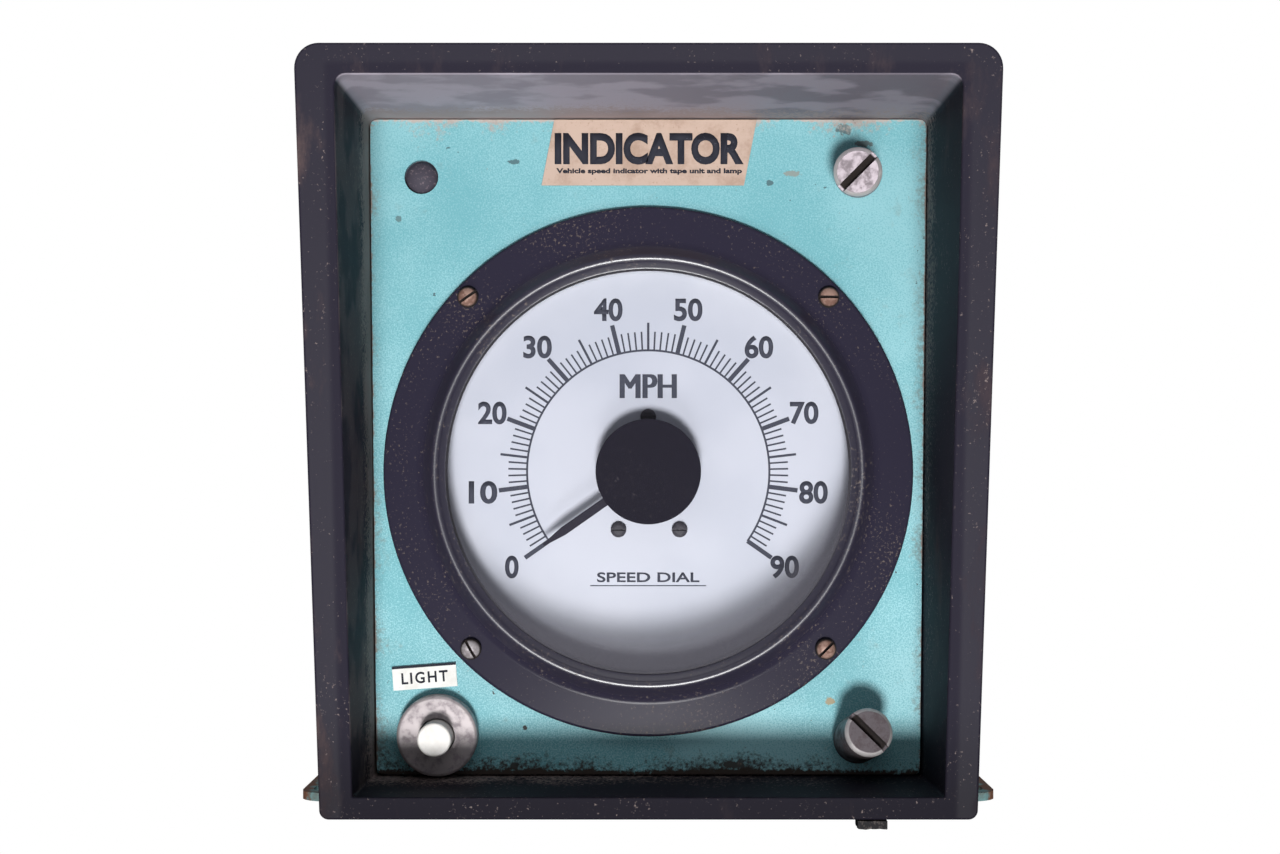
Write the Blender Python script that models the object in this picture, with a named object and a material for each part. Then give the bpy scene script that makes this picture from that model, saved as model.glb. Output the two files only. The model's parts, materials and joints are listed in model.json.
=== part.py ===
"""Cab speed indicator with a built-in tape recorder.

A draw-out chassis (front panel, round dial meter, tape deck) slides in a sheet-steel case behind a raked
glare hood, and the case stands on a slotted base plate.

Frame: X to the right of the panel, Y into the case, Z up. The origin is the centre of the base plate's
underside. All sizes below are in millimetres; the helpers turn them into metres.
"""

import math

import bmesh
import bpy
from mathutils import Matrix, Vector

MM = 0.001
GAP = 0.3  # clearance kept between pieces that touch
BIG, MEDIUM, SMALL = 48, 24, 12  # facets round large, medium and small turned pieces

# Panel and dial
PANEL_Y = -97.0  # front face of the panel; depths below are measured from it, into the case
PANEL_LOW, PANEL_HIGH = 9.1, 198.1
PANEL_WIDTH_LOW, PANEL_WIDTH_HIGH = 156.8, 160.6
PANEL_THICKNESS = 2.0
DIAL_Z = 96.5
BEZEL_R = 76.2
BEZEL_CREST_R = 61.2
BEZEL_INNER_R = 58.2
BEZEL_SCREW_R = 72.0
BEZEL_SCREWS = ((136, 35), (44, 0), (225, -60), (-45, 45))  # angle round the bezel, angle of the slot
CAN_R = 61.0
CAN_DEPTH = 64.0
LAMP_X = 42.0
DIAL_DEPTH = 9.4
DIAL_R = 58.8
DIAL_SCREWS = ((-8.7, -17.0), (9.2, -17.0), (0.0, 16.0))  # from the dial's centre
POINTER_ANGLE = -125.0  # clockwise from the top, at zero

# Glare hood
HOOD_LOW, HOOD_HIGH = 2.7, 206.5
HOOD_WIDTH_LOW, HOOD_WIDTH_HIGH = 177.6, 182.0
HOOD_REACH_LOW, HOOD_REACH_HIGH = 41.0, 71.0  # how far the lip stands in front of the panel
HOOD_REAR_Y = PANEL_Y + 6.0
LIP_ROUND = 1.2

# Case and base plate
CASE_WIDTH = 176.0
CASE_LOW, CASE_HIGH = 2.7, 204.2
CASE_FRONT_Y, CASE_REAR_Y = HOOD_REAR_Y + GAP, 86.0
SHEET = 1.5
CASE_OPENING_WIDTH = 158.0
CASE_OPENING_LOW, CASE_OPENING_HIGH = 8.6, 198.4
BASE_X, BASE_Y, BASE_THICKNESS = 102.2, 89.0, 2.4
BASE_CORNER = 8.0
EAR_LINE = 90.0  # the ears reach outwards from here
SLOT_X, SLOT_Y, SLOT_WIDTH, SLOT_LENGTH = 95.3, 78.0, 8.0, 11.0
COVER_Y = CASE_REAR_Y + GAP
COVER_THICKNESS = 2.0
COVER_SCREW_X, COVER_SCREW_Z = 82.5, (20.0, 186.0)
CONNECTOR_Z = 38.0

# Panel fittings, as (x, z)
SWITCH = (-60.5, 20.8)
PLUG = (-65.5, 181.5)
NAME_LABEL_X = (-30.8, 31.3)
NAME_LABEL_Z = (179.0, 198.0)
LABEL_SLANT = 3.7
LIGHT_LABEL = (-64.5, 37.4)
LIGHT_LABEL_SIZE = (18.5, 6.9)
LIGHT_LABEL_TILT = 4.3  # degrees, left end low
UPPER_SCREW = (60.5, 182.4)
LOWER_SCREW = (59.4, 18.7)
CAPTIVE_HOLE_R = 4.6
NUT_Y = -84.0

# Chassis and tape deck
TRAY_LOW, TRAY_HIGH = 10.8, 12.3
TRAY_LEFT, TRAY_RIGHT = -65.6, 45.6
TRAY_REAR = 75.0
DECK_X = (19.0, 21.0)
DECK_Y = (-24.0, 64.0)
DECK_HIGH = 176.0
CAPSTAN = (-1.0, 132.0)  # (y, z) on the deck
CAPSTAN_R = 1.25
FLYWHEEL_R = 22.0
MOTOR = (30.0, 36.0)
MOTOR_PULLEY_R = 5.0
SUPPLY = (25.0, 88.75)
TAKEUP = (25.0, 131.25)
PINCH_PIVOT = (-16.0, 152.0)
PINCH_ROLLER_R = 5.0
CARTRIDGE_X = (25.0, 37.0)
CARTRIDGE_Y = (-10.0, 54.0)
CARTRIDGE_Z = (60.0, 160.0)

# Materials: colour, roughness, metallic
FINISHES = {
    "black_enamel": ((0.035, 0.033, 0.042), 0.38, 0.0),
    "teal_hammertone": ((0.16, 0.42, 0.43), 0.42, 0.1),
    "black_plastic": ((0.02, 0.02, 0.024), 0.45, 0.0),
    "rubber": ((0.015, 0.015, 0.016), 0.85, 0.0),
    "zinc_plate": ((0.55, 0.54, 0.50), 0.35, 1.0),
    "bare_steel": ((0.46, 0.44, 0.44), 0.38, 1.0),
    "rusty_steel": ((0.34, 0.16, 0.10), 0.62, 0.7),
    "aluminium": ((0.62, 0.63, 0.65), 0.35, 1.0),
    "brass": ((0.62, 0.45, 0.18), 0.30, 1.0),
    "copper": ((0.60, 0.27, 0.14), 0.35, 1.0),
    "glass": ((0.85, 0.90, 0.92), 0.08, 0.0),
    "opal_acrylic": ((0.72, 0.78, 0.86), 0.35, 0.0),
    "white_plastic": ((0.86, 0.85, 0.83), 0.35, 0.0),
    "cream_card": ((0.62, 0.53, 0.42), 0.70, 0.0),
    "green_laminate": ((0.05, 0.20, 0.10), 0.45, 0.0),
    "brown_tape": ((0.10, 0.05, 0.03), 0.35, 0.0),
}

# Turns a shape modelled about Z so that its axis lies along X or Y.
AXIS_TURN = {
    "X": Matrix.Rotation(math.radians(90), 4, "Y"),
    "Y": Matrix.Rotation(math.radians(-90), 4, "X"),
    "Z": Matrix.Identity(4),
}


# ---------------------------------------------------------------- helpers


def clear_scene():
    for thing in list(bpy.data.objects):
        bpy.data.objects.remove(thing, do_unlink=True)


def finish(name):
    """The named Principled material, made once."""
    if name in bpy.data.materials:
        return bpy.data.materials[name]
    colour, roughness, metallic = FINISHES[name]
    material = bpy.data.materials.new(name)
    material.use_nodes = True
    shader = material.node_tree.nodes["Principled BSDF"]
    shader.inputs["Base Color"].default_value = (*colour, 1.0)
    shader.inputs["Roughness"].default_value = roughness
    shader.inputs["Metallic"].default_value = metallic
    return material


def pivot(name, at=(0, 0, 0), rotation=None, parent=None):
    """An empty that carries one moving body, standing on its joint's axis."""
    empty = bpy.data.objects.new(name, None)
    empty.empty_display_size = 10 * MM
    empty.location = Vector(at) * MM
    empty.parent = parent
    if rotation is not None:
        empty.rotation_mode = "QUATERNION"
        empty.rotation_quaternion = rotation
    bpy.context.scene.collection.objects.link(empty)
    return empty


def place(name, shape, finish_name, at=(0, 0, 0), parent=None):
    """Makes an object of a bmesh in millimetres, whose own origin is put at the point at."""
    bmesh.ops.remove_doubles(shape, verts=shape.verts, dist=0.0005)
    bmesh.ops.recalc_face_normals(shape, faces=shape.faces)
    shape.transform(Matrix.Scale(MM, 4))
    mesh = bpy.data.meshes.new(name)
    shape.to_mesh(mesh)
    shape.free()
    mesh.shade_smooth()
    mesh.set_sharp_from_angle(angle=math.radians(35))
    mesh.materials.append(finish(finish_name))
    made = bpy.data.objects.new(name, mesh)
    made.location = Vector(at) * MM
    made.parent = parent
    bpy.context.scene.collection.objects.link(made)
    return made


def combine(target, shape, operation):
    """Cuts the shape, given in the target's frame, from the target or joins it on, with a live Boolean."""
    helper = place(f"{target.name}_{operation.lower()}", shape, "bare_steel", parent=target)
    helper.hide_render = True
    helper.display_type = "WIRE"
    modifier = target.modifiers.new(operation.title(), "BOOLEAN")
    modifier.operation = operation
    modifier.object = helper


def cut(target, *shapes):
    combine(target, gathered(*shapes), "DIFFERENCE")


def fuse(target, *shapes):
    for shape in shapes:
        combine(target, shape, "UNION")


def gathered(*shapes):
    """One bmesh of several separate shapes."""
    whole = shapes[0]
    for shape in shapes[1:]:
        mesh = bpy.data.meshes.new("gathered")
        shape.to_mesh(mesh)
        shape.free()
        whole.from_mesh(mesh)
        bpy.data.meshes.remove(mesh)
    return whole


def box(x, y, z):
    """A block between pairs of limits."""
    shape = bmesh.new()
    size = Matrix.Diagonal((x[1] - x[0], y[1] - y[0], z[1] - z[0], 1))
    centre = Vector((sum(x), sum(y), sum(z))) / 2
    bmesh.ops.create_cube(shape, size=1, matrix=Matrix.Translation(centre) @ size)
    return shape


def turned(profile, facets, axis="Y", at=(0, 0, 0)):
    """Spins a closed profile of (radius, distance along the axis) points into a solid."""
    shape = bmesh.new()
    points = [shape.verts.new((radius, 0, along)) for radius, along in profile]
    edges = []
    for first, second in zip(points, points[1:] + points[:1]):
        if first.co.x > 0 or second.co.x > 0:
            edges.append(shape.edges.new((first, second)))
    turn = {"cent": (0, 0, 0), "axis": (0, 0, 1), "angle": math.tau, "steps": facets}
    bmesh.ops.spin(shape, geom=points + edges, use_merge=True, **turn)
    bmesh.ops.remove_doubles(shape, verts=shape.verts, dist=0.001)
    bmesh.ops.recalc_face_normals(shape, faces=shape.faces)
    shape.transform(Matrix.Translation(at) @ AXIS_TURN[axis])
    return shape


def rod(radius, low, high, facets, axis="Y", at=(0, 0, 0)):
    """A plain cylinder between two distances along its axis."""
    return turned([(0, low), (radius, low), (radius, high), (0, high)], facets, axis, at)


def extruded(outline, axis, low, high):
    """Extrudes a closed outline, given in the two other axes in X, Y, Z order, between two limits."""
    order = {"X": (2, 0, 1), "Y": (0, 2, 1), "Z": (0, 1, 2)}[axis]
    shape = bmesh.new()
    points = [(*point, low) for point in outline]
    face = shape.faces.new([shape.verts.new([point[i] for i in order]) for point in points])
    grown = bmesh.ops.extrude_face_region(shape, geom=[face])
    step = Vector([(0, 0, high - low)[i] for i in order])
    raised = [item for item in grown["geom"] if isinstance(item, bmesh.types.BMVert)]
    bmesh.ops.translate(shape, verts=raised, vec=step)
    bmesh.ops.recalc_face_normals(shape, faces=shape.faces)
    return shape


def skinned(loops):
    """A closed ring-shaped solid: each loop of points is joined to the next, and the last to the first."""
    shape = bmesh.new()
    rings = [[shape.verts.new(point) for point in loop] for loop in loops]
    for ring, following in zip(rings, rings[1:] + rings[:1]):
        count = len(ring)
        for i in range(count):
            j = (i + 1) % count
            shape.faces.new((ring[i], ring[j], following[j], following[i]))
    bmesh.ops.recalc_face_normals(shape, faces=shape.faces)
    return shape


def arc(centre, radius, start, end, steps):
    """Points on an arc, angles in degrees."""
    turns = [math.radians(start + (end - start) * i / steps) for i in range(steps + 1)]
    return [(centre[0] + radius * math.cos(turn), centre[1] + radius * math.sin(turn)) for turn in turns]


def frame_outline(width_low, width_high, low, high, round_low, round_high, steps=4):
    """An upright four-sided outline with rounded corners, as (x, z), whose width changes with height."""
    corners = (
        (1, high, width_high, round_high, 0),
        (-1, high, width_high, round_high, 90),
        (-1, low, width_low, round_low, 180),
        (1, low, width_low, round_low, 270),
    )
    points = []
    for side, z, width, radius, start in corners:
        inward = -1 if z == high else 1
        centre = (side * (width / 2 - radius), z + inward * radius)
        points += arc(centre, radius, start, start + 90, steps)
    return points


def slot_outline(width, length, at):
    """A stadium outline whose long side runs along the second axis."""
    radius, reach = width / 2, (length - width) / 2
    high, low = (at[0], at[1] + reach), (at[0], at[1] - reach)
    return arc(high, radius, 0, 180, 6) + arc(low, radius, 180, 360, 6)


def depth(distance):
    """The Y of a plane this far behind the panel's front face."""
    return PANEL_Y + distance


def on_dial(profile, facets):
    """A turned piece on the dial's axis, its profile as (radius, depth)."""
    return turned([(radius, depth(back)) for radius, back in profile], facets, at=(0, 0, DIAL_Z))


def round_the_bezel(angle):
    turn = math.radians(angle)
    return BEZEL_SCREW_R * math.cos(turn), DIAL_Z + BEZEL_SCREW_R * math.sin(turn)


def slot_cutter(width, length, front, bottom, angle):
    """A bar across a screw's head, turned about the local Y axis."""
    bar = box((-length / 2, length / 2), (front - 1, bottom), (-width / 2, width / 2))
    bar.transform(Matrix.Rotation(math.radians(-angle), 4, "Y"))
    return bar


# ---------------------------------------------------------------- hood, case and base


def hood_rake(z):
    """The Y of the hood's raked front plane at a height."""
    share = (z - HOOD_LOW) / (HOOD_HIGH - HOOD_LOW)
    return PANEL_Y - (HOOD_REACH_LOW + (HOOD_REACH_HIGH - HOOD_REACH_LOW) * share)


def glare_hood():
    outer = frame_outline(HOOD_WIDTH_LOW, HOOD_WIDTH_HIGH, HOOD_LOW, HOOD_HIGH, 2.5, 6.5)
    eased = frame_outline(
        HOOD_WIDTH_LOW - 2 * LIP_ROUND,
        HOOD_WIDTH_HIGH - 2 * LIP_ROUND,
        HOOD_LOW + LIP_ROUND,
        HOOD_HIGH - LIP_ROUND,
        2.5 - LIP_ROUND,
        6.5 - LIP_ROUND,
    )
    mouth = frame_outline(159.4, 161.4, 8.9, 198.4, 1.0, 3.0)
    throat = frame_outline(157.6, 161.4, 8.5, 198.5, 1.0, 3.0)
    hood = skinned(
        [
            [(x, HOOD_REAR_Y, z) for x, z in outer],
            [(x, hood_rake(z) + LIP_ROUND, z) for x, z in outer],
            [(x, hood_rake(z), z) for x, z in eased],
            [(x, hood_rake(z), z) for x, z in mouth],
            [(x, PANEL_Y, z) for x, z in throat],
            [(x, HOOD_REAR_Y, z) for x, z in throat],
        ]
    )
    place("glare_hood", hood, "black_enamel")
    front = hood_rake(HOOD_LOW)
    bumper = box((56.5, 64.5), (front + 0.3, front + 8.3), (0, HOOD_LOW - GAP))
    place("hood_bumper", bumper, "rubber")


def case_shell():
    outer = frame_outline(CASE_WIDTH, CASE_WIDTH, CASE_LOW, CASE_HIGH, 6, 6)
    inner_width = CASE_WIDTH - 2 * SHEET
    cavity = frame_outline(inner_width, inner_width, CASE_LOW + SHEET, CASE_HIGH - SHEET, 4.5, 4.5)
    opening = frame_outline(
        CASE_OPENING_WIDTH, CASE_OPENING_WIDTH, CASE_OPENING_LOW, CASE_OPENING_HIGH, 3, 3
    )
    front, rear = CASE_FRONT_Y, CASE_REAR_Y
    stations = (
        (outer, front),
        (outer, rear),
        (opening, rear),
        (opening, rear - SHEET),
        (cavity, rear - SHEET),
        (cavity, front + SHEET),
        (opening, front + SHEET),
        (opening, front),
    )
    shell = skinned([[(x, y, z) for x, z in loop] for loop, y in stations])
    case = place("case_shell", shell, "teal_hammertone")
    cut(case, *[rod(1.9, rear - 5, rear + 5, SMALL, at=(x, 0, z)) for x, z in cover_screw_places()])


def cover_screw_places():
    return [(x, z) for z in COVER_SCREW_Z for x in (-COVER_SCREW_X, COVER_SCREW_X)]


def rear_cover():
    outline = frame_outline(CASE_WIDTH, CASE_WIDTH, CASE_LOW, CASE_HIGH, 6, 6)
    rear = COVER_Y + COVER_THICKNESS
    cover = place("rear_cover", extruded(outline, "Y", COVER_Y, rear), "teal_hammertone")
    holes = [rod(1.9, COVER_Y - 3, rear + 3, SMALL, at=(x, 0, z)) for x, z in cover_screw_places()]
    cut(cover, rod(13.4, COVER_Y - 3, rear + 3, MEDIUM, at=(0, 0, CONNECTOR_Z)), *holes)
    head = rear + GAP
    shank = [(0, head - 7), (1.5, head - 7), (1.5, head)]
    profile = shank + [(3.2, head), (3.2, head + 1.2), (2.4, head + 2), (0, head + 2)]
    for number, (x, z) in enumerate(cover_screw_places(), start=1):
        screw = place(f"rear_cover_screw_{number}", turned(profile, SMALL), "zinc_plate", at=(x, 0, z))
        cut(screw, box((-4, 4), (head + 0.9, head + 3), (-0.4, 0.4)))


def rear_connector():
    face = COVER_Y + COVER_THICKNESS + GAP
    profile = [
        (0, face - 1.9),
        (13, face - 1.9),
        (13, face),
        (18, face),
        (18, face + 2.2),
        (14.5, face + 2.2),
        (14.5, face + 16.4),
        (12.5, face + 16.4),
        (12.5, face + 5.4),
        (0, face + 5.4),
    ]
    place("rear_connector", turned(profile, MEDIUM, at=(0, 0, CONNECTOR_Z)), "zinc_plate")
    socket = place("backplane_socket", box((-30, 30), (75.9, 86.0), (28, 47)), "black_plastic")
    cut(socket, box((-27, 27), (74, 84), (34.5, 40.5)))


def base_plate():
    """The slotted plate that the case stands on, whose ears stick out past the case's sides."""
    x, y, r = BASE_X, BASE_Y, BASE_CORNER
    corners = ((x - r, y - r, 0), (r - x, y - r, 90), (r - x, r - y, 180), (x - r, r - y, 270))
    outline = [point for cx, cy, start in corners for point in arc((cx, cy), r, start, start + 90, 5)]
    slab = extruded(outline, "Z", 0, BASE_THICKNESS)
    for side in (-1, 1):  # an edge along each side, so that the ears are faces of their own beside the case
        whole = slab.verts[:] + slab.edges[:] + slab.faces[:]
        bmesh.ops.bisect_plane(slab, geom=whole, plane_co=(side * EAR_LINE, 0, 0), plane_no=(1, 0, 0))
    plate = place("base_plate", slab, "teal_hammertone")
    slots = [
        extruded(slot_outline(SLOT_WIDTH, SLOT_LENGTH, (side * SLOT_X, end * SLOT_Y)), "Z", -2, 5)
        for side in (-1, 1)
        for end in (-1, 1)
    ]
    cut(plate, *slots)


def guide_rails():
    """Two C-section rails on the case's floor, whose grooves hold the tray's edges."""
    base, low, high, top = 4.5, TRAY_LOW - 0.4, TRAY_HIGH + 0.4, 13.5
    for name, mouth, side in (("guide_rail_left", -60, -1), ("guide_rail_right", 40, 1)):
        back, groove = mouth + side * 8, mouth + side * 6
        section = [
            (back, base),
            (mouth, base),
            (mouth, low),
            (groove, low),
            (groove, high),
            (mouth, high),
            (mouth, top),
            (back, top),
        ]
        place(name, extruded(section, "Y", -70, 80), "zinc_plate")


def panel_nuts():
    """Brackets inside the case that the two captive screws thread into."""
    roof, floor = CASE_HIGH - SHEET - GAP, CASE_LOW + SHEET + GAP
    for name, (x, z), far, wall in (
        ("panel_nut_upper", UPPER_SCREW, UPPER_SCREW[1] - 8.4, roof),
        ("panel_nut_lower", LOWER_SCREW, LOWER_SCREW[1] + 8.4, floor),
    ):
        lip = wall + math.copysign(SHEET, far - wall)
        front, rear = NUT_Y, NUT_Y + 3
        foot = rear + 15
        section = [(front, far), (rear, far), (rear, lip), (foot, lip), (foot, wall), (front, wall)]
        bracket = place(name, extruded(section, "X", x - 8, x + 8), "zinc_plate")
        cut(bracket, rod(2.7, front - 2, rear + 2, SMALL, at=(x, 0, z)))


# ---------------------------------------------------------------- panel and its fittings


def front_panel(chassis):
    outline = frame_outline(PANEL_WIDTH_LOW, PANEL_WIDTH_HIGH, PANEL_LOW, PANEL_HIGH, 2, 2)
    plate = extruded(outline, "Y", PANEL_Y, depth(PANEL_THICKNESS))
    panel = place("front_panel", plate, "teal_hammertone", parent=chassis)
    ends = (depth(-3), depth(PANEL_THICKNESS + 3))
    holes = [rod(CAPTIVE_HOLE_R, *ends, 24, at=(x, 0, z)) for x, z in (UPPER_SCREW, LOWER_SCREW)]
    holes.append(rod(CAN_R + 0.8, *ends, BIG, at=(0, 0, DIAL_Z)))
    holes.append(rod(4.9, *ends, 24, at=(PLUG[0], 0, PLUG[1])))
    holes.append(rod(5.6, *ends, 24, at=(SWITCH[0], 0, SWITCH[1])))
    cut(panel, *holes, *bezel_screw_holes())


def bezel_screw_holes():
    places = [round_the_bezel(angle) for angle, _ in BEZEL_SCREWS]
    return [rod(1.9, depth(-8), depth(7), SMALL, at=(x, 0, z)) for x, z in places]


def panel_fittings(chassis):
    plug = [(0, -0.6), (2.4, -0.3), (4.0, 0.5), (4.6, 1.4), (4.6, 2.3), (6.2, 2.3), (6.2, 3.6), (0, 3.6)]
    at = (PLUG[0], PANEL_Y, PLUG[1])
    place("blanking_plug", turned(plug, MEDIUM), "black_plastic", at=at, parent=chassis)
    (left, right), (low, high) = NAME_LABEL_X, NAME_LABEL_Z
    corners = [(left, low), (right - LABEL_SLANT, low), (right, high), (left + LABEL_SLANT, high)]
    label = extruded(corners, "Y", depth(-0.8), depth(-0.3))
    place("name_label", label, "cream_card", parent=chassis)
    width, height = LIGHT_LABEL_SIZE
    sticker = box((-width / 2, width / 2), (-0.6, -0.3), (-height / 2, height / 2))
    sticker.transform(Matrix.Rotation(math.radians(-LIGHT_LABEL_TILT), 4, "Y"))
    at = (LIGHT_LABEL[0], PANEL_Y, LIGHT_LABEL[1])
    place("light_label", sticker, "white_plastic", at=at, parent=chassis)


def light_switch(chassis):
    x, z = SWITCH
    ring = [(5.2, -0.3), (11.6, -0.3), (11.6, -5.0), (11.3, -5.7), (10.7, -6.0), (5.2, -6.0)]
    place("switch_bezel", turned(ring, MEDIUM), "bare_steel", at=(x, PANEL_Y, z), parent=chassis)
    body = box((-7, 7), (2.3, 24.3), (-7, 7))
    made = place("switch_body", body, "black_plastic", at=(x, PANEL_Y, z), parent=chassis)
    cut(made, rod(5.3, 1, 8.5, 24))
    travel = pivot("light_button_axis", (x, PANEL_Y, z), parent=chassis)
    button = [(0, -14.2), (4.1, -14.2), (4.6, -13.9), (4.8, -13.4), (4.8, 2.0), (0, 2.0)]
    place("switch_button", turned(button, 24), "white_plastic", parent=travel)


def captive_screw(chassis, prefix, at, lean, drawn, ring_back, slot_angle):
    """A slotted captive screw in its clearance hole, leaning, with the retaining ring behind the panel.

    Local +Y points along the screw into the panel; drawn is how far the head stands off the panel.
    """
    direction = Vector((-lean[0], math.sqrt(1 - lean[0] ** 2 - lean[1] ** 2), -lean[1]))
    turn = Vector((0, 1, 0)).rotation_difference(direction)
    slide = pivot(f"{prefix}_screw_axis", (at[0], PANEL_Y, at[1]), turn, chassis)
    ring = [(2.25, ring_back), (5.6, ring_back), (5.6, ring_back + 1.2), (2.25, ring_back + 1.2)]
    place(f"{prefix}_retaining_ring", turned(ring, SMALL), "zinc_plate", parent=slide)
    face = -drawn - 17.0
    profile = [
        (0, face),
        (5.85, face),
        (6.85, face + 1),
        (6.85, -drawn),
        (2.45, -drawn),
        (2.45, ring_back - 0.3),
        (1.95, ring_back - 0.3),
        (1.95, ring_back + 1.5),
        (2.45, ring_back + 1.5),
        (2.45, 9.6),
        (1.9, 10.2),
        (0, 10.2),
    ]
    screw = place(f"{prefix}_captive_screw", turned(profile, 24), "bare_steel", parent=slide)
    cut(screw, slot_cutter(1.7, 16, face, face + 2.5, slot_angle))


# ---------------------------------------------------------------- meter


def meter(chassis):
    bezel = [
        (BEZEL_R, -0.3),
        (BEZEL_R, -2.4),
        (BEZEL_R - 0.5, -2.8),
        (65.8, -3.0),
        (64.2, -3.8),
        (62.3, -6.0),
        (BEZEL_CREST_R, -6.6),
        (60.2, -6.3),
        (BEZEL_INNER_R, -5.2),
        (BEZEL_INNER_R, -4.6),
        (60.9, -4.6),
        (60.9, -0.3),
    ]
    ring = place("bezel_ring", on_dial(bezel, BIG), "black_enamel", parent=chassis)
    cut(ring, *bezel_screw_holes())
    bezel_screws(chassis)
    glass = on_dial([(0, -4.3), (60.5, -4.3), (60.5, -1.8), (0, -1.8)], BIG)
    place("dial_glass", glass, "glass", parent=chassis)
    disc = on_dial([(0, -1.5), (15.2, -1.5), (15.2, -0.7), (0, -0.7)], MEDIUM)
    place("hub_cover", disc, "black_plastic", parent=chassis)
    can = [
        (CAN_R, 0),
        (CAN_R, 2.3),
        (75.5, 2.3),
        (75.5, 4.3),
        (CAN_R, 4.3),
        (CAN_R, CAN_DEPTH),
        (0, CAN_DEPTH),
        (0, CAN_DEPTH - SHEET),
        (CAN_R - SHEET, CAN_DEPTH - SHEET),
        (CAN_R - SHEET, 0),
    ]
    shell = place("meter_can", on_dial(can, BIG), "zinc_plate", parent=chassis)
    ends = (depth(CAN_DEPTH - 5), depth(CAN_DEPTH + 5))
    lamp_holes = [rod(6.6, *ends, SMALL, at=(x, 0, DIAL_Z)) for x in (-LAMP_X, LAMP_X)]
    cut(shell, *bezel_screw_holes(), *lamp_holes)
    dial(chassis)
    movement(chassis)
    lamp = [(0, 41.5), (3, 42.5), (4.4, 46), (4.4, 56), (6, 56), (6, 70), (0, 70)]
    for name, x in (("lamp_left", -LAMP_X), ("lamp_right", LAMP_X)):
        place(name, turned(lamp, SMALL), "brass", at=(x, PANEL_Y, DIAL_Z), parent=chassis)


def bezel_screws(chassis):
    head = -3.0 - GAP
    dome = [(0, head - 2.2), (2.4, head - 2.2), (3.0, head - 1.5), (3.0, head)]
    profile = dome + [(1.5, head), (1.5, 4.0), (0, 4.0)]
    for number, (angle, slot) in enumerate(BEZEL_SCREWS, start=1):
        x, z = round_the_bezel(angle)
        colour = "bare_steel" if number == 3 else "rusty_steel"
        at = (x, PANEL_Y, z)
        screw = place(f"bezel_screw_{number}", turned(profile, SMALL), colour, at=at, parent=chassis)
        cut(screw, slot_cutter(0.9, 8, head - 2.2, head - 1.0, slot))


def dial_screw_holes(front, back):
    ends = (depth(front), depth(back))
    return [rod(1.35, *ends, SMALL, at=(x, 0, DIAL_Z + z)) for x, z in DIAL_SCREWS]


def dial(chassis):
    front, back = DIAL_DEPTH, DIAL_DEPTH + 1.0
    plate = [(3, front), (DIAL_R, front), (DIAL_R, back), (3, back)]
    made = place("dial_plate", on_dial(plate, BIG), "opal_acrylic", parent=chassis)
    cut(made, *dial_screw_holes(front - 3, back + 10))
    head = [(0, front - 1.5), (1.8, front - 1.5), (2.3, front - 1.0), (2.3, front - GAP)]
    screw = head + [(1, front - GAP), (1, back + 3), (0, back + 3)]
    for number, (x, z) in enumerate(DIAL_SCREWS, start=1):
        at = (x, PANEL_Y, DIAL_Z + z)
        place(f"dial_screw_{number}", turned(screw, SMALL), "bare_steel", at=at, parent=chassis)


def movement(chassis):
    """The movement: bridge behind the dial, ring magnet in its yoke, coil and pointer on one shaft."""
    plate = on_dial([(2, 10.8), (24, 10.8), (24, 14.6), (2, 14.6)], MEDIUM)
    bridge = place("movement_bridge", plate, "aluminium", parent=chassis)
    cut(bridge, *dial_screw_holes(8, 18))
    yoke = [(11.5, 15), (26, 15), (26, 52), (18, 52), (18, 62.2), (1.8, 62.2), (1.8, 50), (11.5, 50)]
    place("movement_yoke", on_dial(yoke, MEDIUM), "bare_steel", parent=chassis)
    axis = pivot("pointer_axis", (0, PANEL_Y, DIAL_Z), parent=chassis)
    coil = [(0, 1.1), (1, 1.1), (1, 20), (9, 20), (9, 46), (1, 46), (1, 60), (0, 60)]
    place("moving_coil", turned(coil, 24), "copper", parent=axis)
    start, half, taper, tip = 8.0, 1.25, 30.0, 37.0
    hub_angle = math.degrees(math.asin(half / start))
    outline = arc((0, 0), start, 90 + hub_angle, 450 - hub_angle, 24)
    outline += [(half, taper), (0.35, tip), (-0.35, tip), (-half, taper)]
    needle = extruded(outline, "Y", 0.2, 0.8)
    needle.transform(Matrix.Rotation(math.radians(POINTER_ANGLE), 4, "Y"))
    place("pointer", needle, "black_plastic", parent=axis)


# ---------------------------------------------------------------- chassis and tape deck


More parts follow.
